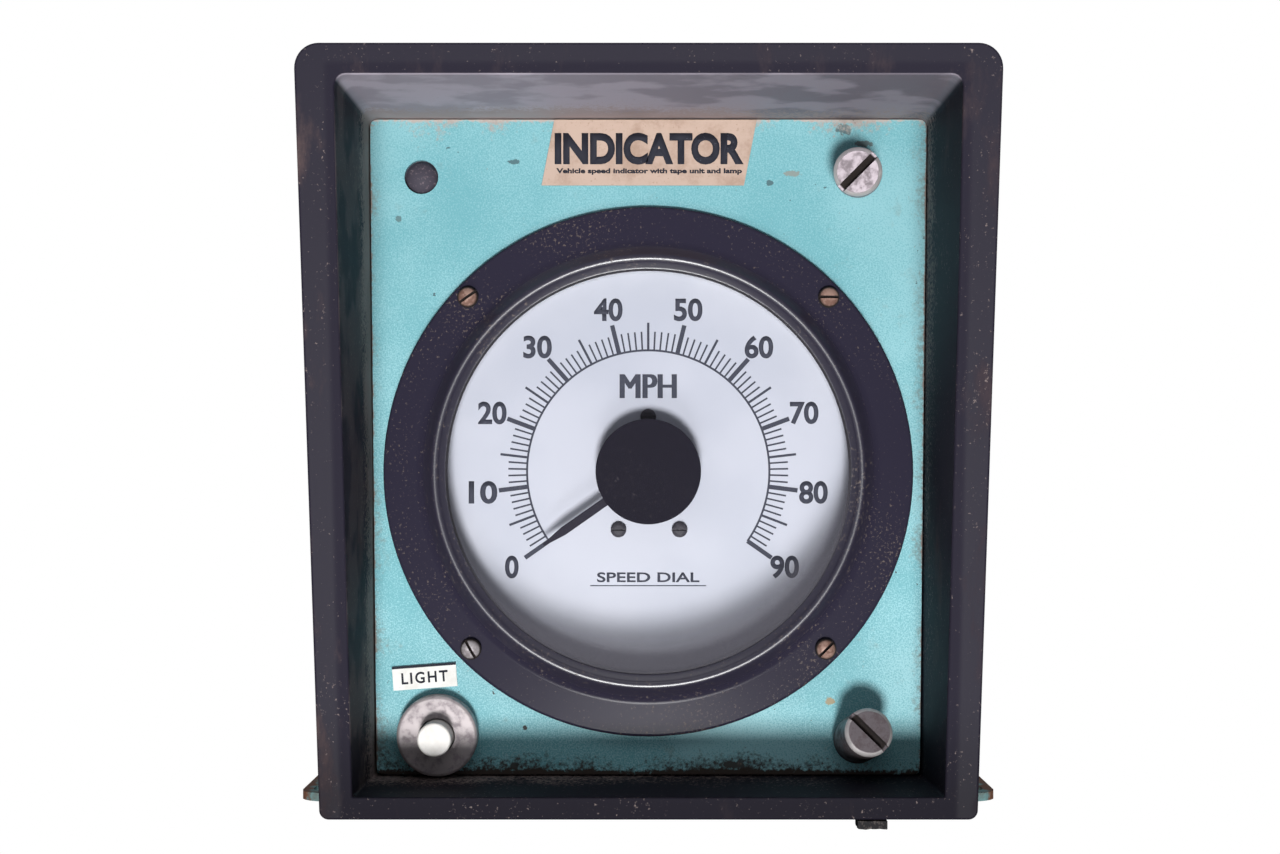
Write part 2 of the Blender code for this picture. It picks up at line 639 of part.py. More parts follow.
def chassis_frame(chassis):
    """The tray that runs in the rails, the upright deck plate, the circuit board and the rear plug."""
    left, right, rear = TRAY_LEFT, TRAY_RIGHT, TRAY_REAR
    step_x, step_y, front = -50.0, -70.0, depth(2.3)
    floor = [(step_x, front), (right, front), (right, rear), (left, rear), (left, step_y), (step_x, step_y)]
    tray = place("chassis_tray", extruded(floor, "Z", TRAY_LOW, TRAY_HIGH), "zinc_plate", parent=chassis)
    fuse(tray, box((step_x, right), (front, front + SHEET), (TRAY_LOW, 20.5)))

    low = TRAY_HIGH + 0.4
    foot, (inner, outer) = 4, DECK_X
    section = [(foot, low), (outer, low), (outer, DECK_HIGH), (inner, DECK_HIGH)]
    section += [(inner, low + SHEET), (foot, low + SHEET)]
    deck = place("deck_plate", extruded(section, "Y", *DECK_Y), "aluminium", parent=chassis)
    bores = ((CAPSTAN, 2.1), (MOTOR, 3.0), (SUPPLY, 2.6), (TAKEUP, 2.6), (PINCH_PIVOT, 2.5), ((44, 70), 9.0))
    cut(deck, *[rod(radius, 10, 30, SMALL, "X", (0, y, z)) for (y, z), radius in bores])

    laminate = box((-58.9, -57.3), (-22, 62), (low, 172))
    board = place("circuit_board", laminate, "green_laminate", parent=chassis)
    rows = [box((-63.5, -58.6), (y, y + 8), (z, z + 20)) for y in (-14, 4, 22) for z in (34, 66, 98)]
    cans = [rod(5, -71, -58.5, SMALL, "X", (0, y, 146)) for y in (-8, 10, 28)]
    edge = box((-66, -58.6), (46, 56), (30, 150))
    fuse(board, gathered(*rows, *cans, edge))

    block = box((-28, 28), (66, 75.4), (low, 47))
    plug = place("backplane_plug", block, "black_plastic", parent=chassis)
    fuse(plug, box((-26, 26), (75, 83), (35.2, 39.8)))


def belt_outline(radius_big, radius_small, steps=14):
    """The open belt's path, as (y, z), round the flywheel and the motor pulley."""
    big, small = Vector(CAPSTAN), Vector(MOTOR)
    line = small - big
    heading = math.degrees(math.atan2(line.y, line.x))
    wrap = math.degrees(math.acos((radius_big - radius_small) / line.length))
    return arc(big, radius_big, heading + wrap, heading + 360 - wrap, steps) + arc(
        small, radius_small, heading - wrap, heading + wrap, steps
    )


def tape_drive(chassis):
    motor = [(0, 21.4), (16, 21.4), (16, 46.5), (14, 49), (0, 49)]
    place("drive_motor", turned(motor, MEDIUM, "X", (0, *MOTOR)), "zinc_plate", parent=chassis)
    inner = belt_outline(FLYWHEEL_R + GAP, MOTOR_PULLEY_R + GAP)
    outer = belt_outline(FLYWHEEL_R + GAP + 1, MOTOR_PULLEY_R + GAP + 1)
    sides = ((outer, 6.5), (outer, 10.5), (inner, 10.5), (inner, 6.5))
    belt = skinned([[(x, y, z) for y, z in loop] for loop, x in sides])
    place("drive_belt", belt, "rubber", parent=chassis)
    head = place("record_head", box((25.4, 34.5), (-13, -4.3), (104, 116)), "bare_steel", parent=chassis)
    fuse(head, box((21.4, 25.8), (-19, -7), (103, 117)))

    spin = pivot("flywheel_axis", (0, *CAPSTAN), parent=chassis)
    flywheel = [
        (0, 3),
        (FLYWHEEL_R, 3),
        (FLYWHEEL_R, 11.5),
        (6, 11.5),
        (6, 18.5),
        (1.6, 18.5),
        (1.6, 24),
        (CAPSTAN_R, 24),
        (CAPSTAN_R, 37),
        (0, 37),
    ]
    made = place("flywheel", turned(flywheel, MEDIUM, "X"), "brass", parent=spin)
    turns = (0, math.tau / 3, -math.tau / 3)
    cut(made, *[rod(4, 0, 8, SMALL, "X", (0, 14 * math.cos(t), 14 * math.sin(t))) for t in turns])
    spin = pivot("motor_pulley_axis", (0, *MOTOR), parent=chassis)
    pulley = [(0, 5), (MOTOR_PULLEY_R, 5), (MOTOR_PULLEY_R, 13), (1.2, 13), (1.2, 21), (0, 21)]
    made = place("motor_pulley", turned(pulley, 20, "X"), "brass", parent=spin)
    cut(made, box((4, 8), (2.2, 3.4), (-0.8, 0.8)))
    pulley = [(0, 14), (7, 14), (7, 18.6), (2.1, 18.6), (2.1, 21.4)]
    profile = pulley + [(8, 21.4), (8, 23.4), (2.9, 23.4), (2.9, 33), (1.5, 35), (0, 35)]
    for name, place_on_deck in (("supply_spindle", SUPPLY), ("takeup_spindle", TAKEUP)):
        spin = pivot(f"{name}_axis", (0, *place_on_deck), parent=chassis)
        made = place(name, turned(profile, 20, "X"), "white_plastic", parent=spin)
        fuse(made, box((23, 32), (-3.9, 3.9), (-0.6, 0.6)))


def pinch_roller(chassis):
    arm_axis = pivot("pinch_arm_axis", (0, *PINCH_PIVOT), parent=chassis)
    axle = Vector((CAPSTAN[0] - CAPSTAN_R - PINCH_ROLLER_R - GAP, CAPSTAN[1])) - Vector(PINCH_PIVOT)
    heading = math.degrees(math.atan2(axle.y, axle.x))
    outline = arc((0, 0), 4.5, heading + 90, heading + 270, 8) + arc(axle, 3, heading - 90, heading + 90, 8)
    arm = place("pinch_arm", extruded(outline, "X", 21.4, 23.4), "zinc_plate", parent=arm_axis)
    fuse(arm, rod(2, 17.5, 22, SMALL, "X"), rod(1, 23, 35.5, 12, "X", (0, *axle)))
    spin = pivot("pinch_roller_axis", (0, *axle), parent=arm_axis)
    profile = [(1.4, 25.5), (PINCH_ROLLER_R, 25.5), (PINCH_ROLLER_R, 34.5), (1.4, 34.5)]
    place("pinch_roller", turned(profile, 20, "X"), "rubber", parent=spin)


def cartridge(chassis):
    """The tape cartridge, a hollow shell with two reels, that lifts off the spindles along X."""
    body = pivot("cartridge_axis", (0, 0, 0), parent=chassis)
    block = box(CARTRIDGE_X, CARTRIDGE_Y, CARTRIDGE_Z)
    shell = place("cartridge_shell", block, "black_plastic", parent=body)
    hollow = box((26.5, 35.5), (4, 52.5), (61.5, 158.5))
    cut(shell, hollow)
    through = (CARTRIDGE_X[0] - 2, CARTRIDGE_X[1] + 2)
    hubs = [rod(6, *through, 20, "X", (0, *place_on_deck)) for place_on_deck in (SUPPLY, TAKEUP)]
    head_gap = box(through, (-12, -3.5), (101, 119))
    capstan_gap = box(through, (-12, 2), (124, 140))
    for opening in (*hubs, head_gap, capstan_gap):
        cut(shell, opening)
    for name, place_on_deck, pack in (("supply_reel", SUPPLY, 20.0), ("takeup_reel", TAKEUP, 13.0)):
        spin = pivot(f"{name}_axis", (0, *place_on_deck), parent=body)
        profile = [(4.6, 25.8), (5.6, 25.8), (5.6, 28.3), (pack, 28.3), (pack, 33.7), (5.6, 33.7)]
        profile += [(5.6, 36.2), (4.6, 36.2)]
        place(name, turned(profile, MEDIUM, "X"), "brown_tape", parent=spin)


def main():
    clear_scene()
    glare_hood()
    case_shell()
    rear_cover()
    rear_connector()
    base_plate()
    guide_rails()
    panel_nuts()
    chassis = pivot("chassis_axis")
    front_panel(chassis)
    panel_fittings(chassis)
    light_switch(chassis)
    captive_screw(chassis, "upper", UPPER_SCREW, (-0.098, -0.098), 1.4, 6.5, 45)
    captive_screw(chassis, "lower", LOWER_SCREW, (0.12, 0.25), 3.2, 4.6, -45)
    meter(chassis)
    chassis_frame(chassis)
    tape_drive(chassis)
    pinch_roller(chassis)
    cartridge(chassis)


main()
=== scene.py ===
"""Looks of a cab speed indicator with a tape recorder behind its dial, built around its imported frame."""

import json
import logging
import math
from dataclasses import dataclass
from enum import Enum
from functools import partial
from typing import Any, Callable, Sequence

import bpy
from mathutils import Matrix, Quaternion, Vector

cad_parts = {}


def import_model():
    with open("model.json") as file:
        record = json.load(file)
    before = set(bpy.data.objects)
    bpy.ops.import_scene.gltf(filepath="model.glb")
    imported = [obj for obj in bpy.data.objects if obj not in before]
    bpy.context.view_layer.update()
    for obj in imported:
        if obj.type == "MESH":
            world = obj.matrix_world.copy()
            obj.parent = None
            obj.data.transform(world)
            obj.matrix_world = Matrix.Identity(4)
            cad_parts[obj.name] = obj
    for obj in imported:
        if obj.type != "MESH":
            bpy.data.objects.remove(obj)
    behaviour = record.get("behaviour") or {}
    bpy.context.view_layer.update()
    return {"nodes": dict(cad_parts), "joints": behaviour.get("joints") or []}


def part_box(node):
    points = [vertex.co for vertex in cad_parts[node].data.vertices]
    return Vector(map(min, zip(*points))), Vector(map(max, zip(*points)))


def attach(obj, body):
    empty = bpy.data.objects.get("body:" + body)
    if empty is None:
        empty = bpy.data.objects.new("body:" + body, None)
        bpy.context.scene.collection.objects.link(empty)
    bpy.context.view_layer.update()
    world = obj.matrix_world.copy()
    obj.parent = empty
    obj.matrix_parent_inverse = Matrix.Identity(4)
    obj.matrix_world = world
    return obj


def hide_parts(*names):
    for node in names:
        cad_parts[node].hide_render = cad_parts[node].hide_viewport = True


MM = 0.001
LOG = logging.getLogger("speed_indicator")
# The direction from the front to the back, which the dial, its screws and most turned pieces share.
DIAL_AXIS = (0, 1, 0)
# Settings of a Map Range node that eases in and out, and of a Mix node that mixes colours.
SMOOTH = {"interpolation_type": "SMOOTHSTEP"}
COLOUR = {"data_type": "RGBA"}
Point = tuple[float, float, float]
Add = Callable[..., bpy.types.Node]
Source = bpy.types.NodeSocket | bpy.types.Node


# ------------------------------------------------------------------ colour and nodes


def linear(hex_colour: str) -> tuple[float, float, float, float]:
    """Turns an sRGB hex colour into linear RGBA.

    Args:
        hex_colour: Six hex digits after a hash sign.

    Returns:
        Linear red, green, blue and an alpha of 1.
    """
    parts = [int(hex_colour[i : i + 2], 16) / 255 for i in (1, 3, 5)]
    red, green, blue = (c / 12.92 if c <= 0.04045 else ((c + 0.055) / 1.055) ** 2.4 for c in parts)
    return red, green, blue, 1.0


def fill(node: bpy.types.Node, inputs: dict[Any, Any]) -> None:
    """Fills a node's inputs.

    Args:
        node: The node.
        inputs: Input name or number to a value, to a socket, or to a node whose first live output is used.
    """
    for key, value in inputs.items():
        if isinstance(value, bpy.types.Node):
            value = next(socket for socket in value.outputs if socket.enabled)
        if isinstance(value, bpy.types.NodeSocket):
            node.id_data.links.new(value, node.inputs[key])
        else:
            node.inputs[key].default_value = value


def add_node(tree: bpy.types.NodeTree, kind: str, *values: Any, **named: Any) -> bpy.types.Node:
    """Adds a node, sets its properties, and fills its inputs.

    Args:
        tree: The node tree to add to.
        kind: The node's type without the ShaderNode prefix, and its operation after a space.
        values: What goes into its live inputs, in the order in which it has them.
        named: Inputs by name, each with a capital, and the node's own properties, without one.

    Returns:
        The new node.
    """
    kind, _, operation = kind.partition(" ")
    node = tree.nodes.new(f"ShaderNode{kind}")
    if operation:
        node.operation = operation
    for name, value in named.items():
        if name[0].islower():
            setattr(node, name, value)
    live = [number for number, socket in enumerate(node.inputs) if socket.enabled]
    fill(node, dict(zip(live, values)) | {name: value for name, value in named.items() if name[0].isupper()})
    return node


def centre_of(node: str, y: float = 0.0) -> Vector:
    """Finds the middle of a CAD node's box in X and Z.

    Args:
        node: The CAD node's name.
        y: The Y that the point gets, in metres.

    Returns:
        The point, in metres.
    """
    low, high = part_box(node)
    return Vector(((low.x + high.x) / 2, y, (low.z + high.z) / 2))


def radius_about(add: Add, place: Source, centre: Vector) -> bpy.types.Node:
    """Measures how far a place is from a line along Y.

    Args:
        add: Adds a node to the material.
        place: Position on the object, in metres.
        centre: A point on the line, in metres.

    Returns:
        The node that gives the distance, in metres.
    """
    return add("VectorMath LENGTH", add("Mapping", place, Location=-centre, Scale=(1.0, 0.0, 1.0)))


# ------------------------------------------------------------------ finishes


@dataclass(frozen=True)
class Finish:
    """A finish of the object: a Principled material whose pattern is made by dress."""

    name: str
    colour: str
    roughness: float = 0.5
    metallic: float = 0.0

    def material(self) -> bpy.types.Material:
        """Gives the finish's material, made the first time it is asked for."""
        if self.name in bpy.data.materials:
            return bpy.data.materials[self.name]
        made = bpy.data.materials.new(self.name)
        made.use_nodes = True
        add = partial(add_node, made.node_tree)
        shader = made.node_tree.nodes["Principled BSDF"]
        plain = {"Base Color": linear(self.colour), "Roughness": self.roughness, "Metallic": self.metallic}
        fill(shader, plain)
        self.dress(add, shader, add("TexCoord").outputs["Object"])
        return made

    def dress(self, add: Add, shader: bpy.types.Node, place: Source) -> None:
        """Adds the finish's pattern to its shader.

        Args:
            add: Adds a node to the material.
            shader: The Principled shader.
            place: Position on the object, in metres.
        """
        raise NotImplementedError(self.name)


@dataclass(frozen=True)
class HammertoneEnamel(Finish):
    """Baked hammertone enamel: small dimples and flecks, and chips down to dark primer."""

    light: str = "#a6ced6"

    def dress(self, add: Add, shader: bpy.types.Node, place: Source) -> None:
        """Adds dimples 0.6 mm apart, flecks 0.4 mm wide, stains 10 mm apart, and chips and rust dots."""
        cells = add("TexVoronoi", place, 1700.0, feature="SMOOTH_F1")
        fleck = add("TexNoise", place, Scale=2300.0, Detail=1.5, Roughness=0.7)
        cloud = add("TexNoise", place, Scale=28.0, Detail=4.0)
        tone = add("Math ADD", fleck, add("Math MULTIPLY", cloud, 0.7))
        light = add("MapRange", tone, 0.68, 1.02, **SMOOTH)
        colour = add("Mix", light, linear(self.colour), linear(self.light), **COLOUR)
        stain = add("TexNoise", place, Scale=95.0, Detail=5.0, Roughness=0.7)
        share = add("Math MULTIPLY", add("MapRange", stain, 0.6, 0.74, **SMOOTH), 0.35)
        colour = add("Mix", share, colour, linear("#8a8f86"), **COLOUR)
        for scale, edge, chip in (
            (260.0, 0.705, "#3b3f42"),
            (640.0, 0.725, "#5c6a68"),
            (330.0, 0.72, "#96582f"),
        ):
            specks = add("TexNoise", place, Scale=scale, Detail=4.0, Roughness=0.65)
            share = add("MapRange", specks, edge, edge + 0.02, **SMOOTH)
            colour = add("Mix", share, colour, linear(chip), **COLOUR)
        bump = add("Bump", Height=cells, Strength=0.2, Distance=0.1 * MM)
        fill(shader, {"Base Color": self.wear(add, place, colour), "Specular IOR Level": 0.3, "Normal": bump})

    def wear(self, add: Add, place: Source, colour: Source) -> Source:
        """Leaves the paint as it is: the case has no marks of its own."""
        return colour


@dataclass(frozen=True)
class PanelEnamel(HammertoneEnamel):
    """The panel's hammertone enamel, with its own knocks, dirt at its borders and painted shade towards its
    top. Sizes in millimetres.
    """

    # X and Z of the middle, half width, half height and colour of each knock.
    knocks: tuple[tuple[float, float, float, float, str], ...] = (
        (-38.8, 185.9, 1.9, 0.7, "#3d4246"),
        (-72.0, 169.4, 0.9, 0.9, "#5f706f"),
        (56.5, 195.4, 2.4, 1.6, "#4b3f3a"),
        (62.3, 191.1, 3.0, 0.8, "#5a4030"),
        (35.0, 179.8, 0.9, 0.9, "#3d4246"),
        (41.5, 182.5, 2.2, 0.9, "#9d9284"),
        (23.9, 11.9, 1.9, 0.9, "#4a3a33"),
        (-38.5, 11.5, 1.3, 1.4, "#31302f"),
        (-35.6, 22.5, 0.7, 0.7, "#31302f"),
        (52.4, 30.3, 1.4, 1.2, "#a79a7c"),
    )

    def wear(self, add: Add, place: Source, colour: Source) -> Source:
        """Lays single knocks with ragged outlines, then the dirt and painted shade over them.

        Args:
            add: Adds a node to the material.
            place: Position on the object, in metres.
            colour: The clean paint's colour.

        Returns:
            The worn paint's colour, with dirt and painted shade.
        """
        ragged = add("TexNoise", place, Scale=900.0, Detail=4.0, Roughness=0.7)
        for x, z, half_width, half_height, chip in self.knocks:
            middle = (-x / half_width, 0.0, -z / half_height)
            stretch = (1 / (half_width * MM), 0.0, 1 / (half_height * MM))
            radius = add("VectorMath LENGTH", add("Mapping", place, Location=middle, Scale=stretch))
            edge = add("Math MULTIPLY_ADD", ragged, 2.2, add("Math ADD", radius, -1.1))
            share = add("MapRange", edge, 1.05, 0.85, **SMOOTH)
            colour = add("Mix", share, colour, linear(chip), **COLOUR)
        return self.border_dirt(add, place, colour)

    def border_dirt(self, add: Add, place: Source, colour: Source) -> Source:
        """Lays painted shade that deepens towards the panel's top, pale dust under its top border and dirt
        along its sides, and darkens the paint towards its bottom edge.

        Args:
            add: Adds a node to the material.
            place: Position on the object, in metres.
            colour: The paint's colour.

        Returns:
            The paint's colour with its dirt and painted shade.
        """
        low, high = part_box("front_panel")
        axes = add("SeparateXYZ", place).outputs
        grit = add("TexNoise", place, Scale=700.0, Detail=4.0, Roughness=0.75)
        drift = add("TexNoise", place, Scale=60.0, Detail=3.0)
        ragged = add("Math ADD", grit, add("Math MULTIPLY", drift, 0.8))
        side_line = add("Math MULTIPLY_ADD", axes["Z"], 0.0101, low.z + 69.5 * MM)
        side_gap = add("Math SUBTRACT", side_line, add("Math ABSOLUTE", axes["X"]))
        top_gap = add("Math SUBTRACT", high.z, axes["Z"])
        foot_gap = add("Math SUBTRACT", axes["Z"], low.z)
        # Painted shade: towards the top the paint is mixed with a darker teal, as less light falls there.
        height = add("MapRange", axes["Z"], 50 * MM, high.z, **SMOOTH)
        colour = add("Mix", add("Math MULTIPLY", height, 0.42), colour, linear("#619aa2"), **COLOUR)
        # The foot entries darken the paint towards the bottom edge; the top entries lay pale dust, and the
        # side entries lay dirt.
        for gap, reach, dirt, weight in (
            (side_gap, 8.0, "#7d9a9b", 0.34),
            (foot_gap, 12.0, "#4a4f4d", 0.4),
            (top_gap, 2.0, "#c3b1a8", 0.5),
            (top_gap, 9.0, "#a99f98", 0.3),
            (side_gap, 1.3, "#8b7a70", 0.55),
            (foot_gap, 3.2, "#3d342e", 0.66),
        ):
            near = add("Math MULTIPLY", add("MapRange", gap, reach * MM, 0.0, **SMOOTH), weight)
            share = add("MapRange", add("Math ADD", near, ragged), 1.15, 1.45, **SMOOTH)
            colour = add("Mix", share, colour, linear(dirt), **COLOUR)
        return colour


@dataclass(frozen=True)
class SoiledEnamel(Finish):
    """Enamel on the base plate: greyed by track dirt, and rusted through at its edges."""

    def dress(self, add: Add, shader: bpy.types.Node, place: Source) -> None:
        """Adds grey dirt in blotches of 7 mm, and brown rust over the plate's outermost 5 mm."""
        edge_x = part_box("base_plate")[1].x
        blotch = add("TexNoise", place, Scale=150.0, Detail=6.0, Roughness=0.7)
        dirt = add("Math MULTIPLY", add("MapRange", blotch, 0.35, 0.7, **SMOOTH), 0.8)
        colour = add("Mix", dirt, linear(self.colour), linear("#5d5850"), **COLOUR)
        outward = add("Math ABSOLUTE", add("SeparateXYZ", place).outputs["X"])
        edge = add("MapRange", outward, edge_x - 5 * MM, edge_x, **SMOOTH)
        rust = add("MapRange", add("Math MULTIPLY_ADD", edge, 0.32, blotch), 0.6, 0.72, **SMOOTH)
        colour = add("Mix", rust, colour, linear("#6d4a38"), **COLOUR)
        bump = add("Bump", Height=blotch, Strength=0.3, Distance=0.2 * MM)
        fill(shader, {"Base Color": colour, "Specular IOR Level": 0.2, "Normal": bump})


@dataclass(frozen=True)
class HoodEnamel(Finish):
    """Thick blue-black brushed-on enamel, satin and scuffed, with a dust film where it isn't wiped, a painted
    reflection under the roof and painted shade at the foot.
    """

    def dress(self, add: Add, shader: bpy.types.Node, place: Source) -> None:
        """Adds smears with painted shade at the foot, a roof film of dust and painted reflection, and dust in
        turn, and the brush's unevenness, 2.6 mm from crest to crest.
        """
        axes = add("SeparateXYZ", place).outputs
        facing = add("SeparateXYZ", add("TexCoord").outputs["Normal"]).outputs
        outward = add("Math ABSOLUTE", axes["X"])
        left = add("MapRange", axes["X"], 70 * MM, -60 * MM, **SMOOTH)
        cloud = add("TexNoise", place, Scale=48.0, Detail=5.0)
        clouds = add("MapRange", cloud, 0.44, 0.58, **SMOOTH)
        inside = self.inside(add, axes, outward)
        closeness = self.closeness(add, axes, inside)

        smears = self.smears(add, place, outward)
        colour = self.smeared(add, axes, smears)
        colour = self.roof_film(add, axes, facing, left, clouds, colour)
        dust = self.dust(add, place, axes, left, cloud, closeness)
        colour = add("Mix", add("Math MULTIPLY", dust, 0.7), colour, linear("#a3938e"), **COLOUR)
        wall = add("Math MULTIPLY", add("MapRange", facing["X"], 0.5, 0.8, **SMOOTH), inside)
        wall = add("Math MULTIPLY", wall, add("Math MULTIPLY_ADD", closeness, 0.3, 0.16))
        colour = add("Mix", add("Math MULTIPLY", wall, clouds), colour, linear("#a0938f"), **COLOUR)

        # Dust and smears dull the paint, and the unwiped inside is duller than the outside.
        dullness = add("Math MAXIMUM", add("Math MAXIMUM", dust, smears), add("Math MULTIPLY", inside, 0.6))
        orange_peel = add("TexNoise", place, Scale=380.0, Detail=2.0)
        fill(shader, {
            "Base Color": colour,
            "Roughness": add("Math MULTIPLY_ADD", dullness, 0.35, self.roughness),
            "Specular IOR Level": 0.06,
            "Normal": add("Bump", Height=orange_peel, Strength=0.1, Distance=0.1 * MM),
        })

    def inside(self, add: Add, axes: Any, outward: Source) -> Source:
        """Finds the hood's inner walls.

        Args:
            add: Adds a node to the material.
            axes: The X, Y and Z of the place.
            outward: Distance from the middle plane, in metres.

        Returns:
            A share that is 1 on the inner walls and 0 on the outside.
        """
        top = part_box("glare_hood")[1].z
        under_top = add("MapRange", axes["Z"], top - 4 * MM, top - 6 * MM, **SMOOTH)
        return add("Math MULTIPLY", add("MapRange", outward, 84 * MM, 82 * MM, **SMOOTH), under_top)

    def closeness(self, add: Add, axes: Any, inside: Source) -> Source:
        """Gives the share that rises to 1 over the last 30 mm of the inner walls before the panel."""
        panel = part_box("front_panel")[0].y
        near = add("MapRange", axes["Y"], panel - 30 * MM, panel - 1 * MM, **SMOOTH)
        return add("Math MULTIPLY", near, inside)

    def smears(self, add: Add, place: Source, outward: Source) -> Source:
        """Draws long smears, 17 mm apart, thicker at the hood's sides.

        Args:
            add: Adds a node to the material.
            place: Position on the object, in metres.
            outward: Distance from the middle plane, in metres.

        Returns:
            The smears' share.
        """
        edge_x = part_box("glare_hood")[1].x
        long_way = add("Mapping", place, Scale=(1.0, 0.6, 0.4))
        smear = add("TexNoise", long_way, Scale=60.0, Detail=6.0, Roughness=0.65)
        side = add("Math MULTIPLY", add("MapRange", outward, 80 * MM, edge_x, **SMOOTH), 0.08)
        return add("MapRange", add("Math ADD", smear, side), 0.55, 0.75, **SMOOTH)

    def smeared(self, add: Add, axes: Any, smears: Source) -> Source:
        """Lays the brown smears, stronger at the left, and paints shade over the foot, where the light falls
        off towards the floor.

        Args:
            add: Adds a node to the material.
            axes: The X, Y and Z of the place.
            smears: The smears' share.

        Returns:
            The paint's colour with its smears and the painted shade over the foot.
        """
        left_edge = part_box("glare_hood")[0].x
        worn = add("MapRange", axes["X"], -60 * MM, left_edge, **SMOOTH)
        share = add("Math MULTIPLY", smears, add("Math MULTIPLY_ADD", worn, 0.25, 0.2))
        colour = add("Mix", share, linear(self.colour), linear("#806a64"), **COLOUR)
        # Painted shade: the lowest 40 mm of the hood are mixed towards near-black, as the light falls off
        # towards the floor.
        foot = add("Math MULTIPLY", add("MapRange", axes["Z"], 40 * MM, 4 * MM, **SMOOTH), 0.7)
        return add("Mix", foot, colour, linear("#15131a"), **COLOUR)

    def roof_film(
        self, add: Add, axes: Any, facing: Any, left: Source, clouds: Source, colour: Source
    ) -> Source:
        """Lays a pale film under the roof, part dust and part painted reflection of the lit panel and floor
        in front.

        Args:
            add: Adds a node to the material.
            axes: The X, Y and Z of the place.
            facing: The X, Y and Z of the surface's normal.
            left: Share that rises towards the left.
            clouds: Share of the film's thicker patches.
            colour: The paint's colour.

        Returns:
            The filmed paint's colour.
        """
        # Painted reflection, partly dust: the downward-facing roof is lightened towards a pale grey, standing
        # for the shine of grazing light from the panel and floor.
        roof = add("MapRange", facing["Z"], -0.4, -0.8, **SMOOTH)
        roof = add("Math MULTIPLY", roof, add("MapRange", axes["Z"], 150 * MM, 190 * MM, **SMOOTH))
        film = add("Math MULTIPLY_ADD", clouds, 0.25, add("Math MULTIPLY_ADD", left, 0.3, 0.36))
        return add("Mix", add("Math MULTIPLY", roof, film), colour, linear("#beb5c1"), **COLOUR)

    def dust(
        self, add: Add, place: Source, axes: Any, left: Source, cloud: Source, closeness: Source
    ) -> Source:
        """Gives the share of dust grains, 1 mm apart, that lie near the panel.

        Args:
            add: Adds a node to the material.
            place: Position on the object, in metres.
            axes: The X, Y and Z of the place.
            left: Share that rises towards the left.
            cloud: The slow pattern that the dust drifts in.
            closeness: Share that rises towards the panel.

        Returns:
            The dust's share.
        """
        grit = add("TexNoise", place, Scale=1000.0, Detail=3.0, Roughness=0.7)
        height = add("MapRange", axes["Z"], 20 * MM, 190 * MM, **SMOOTH)
        amount = add("Math MULTIPLY_ADD", left, 0.2, add("Math MULTIPLY_ADD", height, 0.18, 0.06))
        sifted = add("Math ADD", grit, add("Math MULTIPLY", cloud, 0.25))
        total = add("Math ADD", sifted, add("Math MULTIPLY", closeness, amount))
        return add("MapRange", total, 0.76, 0.9, **SMOOTH)


@dataclass(frozen=True)
class DustedPaint(Finish):
    """Satin black paint or plastic with a sprinkling of pale dust."""

    dust: str = "#8a7e74"
    amount: float = 0.0
    gloss: float = 0.3

    def dress(self, add: Add, shader: bpy.types.Node, place: Source) -> None:
        """Adds dust grains about a millimetre apart, in drifts of 26 mm, that take the gloss away."""
        grit = add("TexNoise", place, Scale=1100.0, Detail=3.0, Roughness=0.7)
        drift = add("TexNoise", place, Scale=38.0, Detail=4.0)
        total = add("Math ADD", grit, add("Math MULTIPLY", drift, 0.35))
        share = add("MapRange", add("Math ADD", total, self.amount), 0.76, 0.92, **SMOOTH)
        dusting = add("Math MULTIPLY", share, 0.75)
        fill(shader, {
            "Base Color": add("Mix", dusting, linear(self.colour), linear(self.dust), **COLOUR),
            "Roughness": self.roughened(add, place, add("Math MULTIPLY_ADD", share, 0.4, self.roughness)),
            "Specular IOR Level": self.shine(add, place),
            "Normal": add("Bump", Height=total, Strength=0.1, Distance=0.05 * MM),
        })

    def roughened(self, add: Add, place: Source, rough: Source) -> Source:
        """Leaves the roughness as the dust makes it."""
        return rough

    def shine(self, add: Add, place: Source) -> Source | float:
        """Gives the same gloss all over."""
        return self.gloss


@dataclass(frozen=True)
class BezelEnamel(DustedPaint):
    """Dusted black enamel whose raised bead has been wiped to a shine. Sizes in millimetres."""

    bead_foot: float = 65.5
    bead_side: float = 64.0

    def bead(self, add: Add, place: Source) -> Source:
        """Gives the share that is 1 on the raised bead and inside it."""
        radius = radius_about(add, place, centre_of("bezel_ring"))
        return add("MapRange", radius, self.bead_foot * MM, self.bead_side * MM, **SMOOTH)

    def roughened(self, add: Add, place: Source, rough: Source) -> Source:
        """Spreads the bead's highlight a little."""
        return add("Math MULTIPLY_ADD", self.bead(add, place), 0.12, rough)

    def shine(self, add: Add, place: Source) -> Source:
        """Gives the bead more gloss than the flange."""
        return add("Math MULTIPLY_ADD", self.bead(add, place), 0.9, self.gloss)


@dataclass(frozen=True)
class WornMetal(Finish):
    """Turned or rolled metal: fine tool marks and patches of tarnish or rust."""

    tarnish: str = "#5a5152"
    share: float = 0.4

    def dress(self, add: Add, shader: bpy.types.Node, place: Source) -> None:
        """Adds rougher patches of tarnish 3 mm apart, and scratches 0.7 mm apart."""
        patch = add("TexNoise", place, Scale=320.0, Detail=6.0, Roughness=0.7)
        scratch = add("TexNoise", place, Scale=1400.0, Detail=2.0)
        # The noise seldom leaves 0.3 to 0.7, so the wanted share is squeezed into that range.
        middle = 0.5 + 0.35 * (0.5 - self.share)
        dull = add("MapRange", patch, middle - 0.1, middle + 0.1, **SMOOTH)
        fill(shader, {
            "Base Color": add("Mix", dull, linear(self.colour), linear(self.tarnish), **COLOUR),
            "Roughness": add("Math MULTIPLY_ADD", dull, 0.25, self.roughness),
            "Normal": add("Bump", Height=scratch, Strength=0.12, Distance=0.05 * MM),
        })


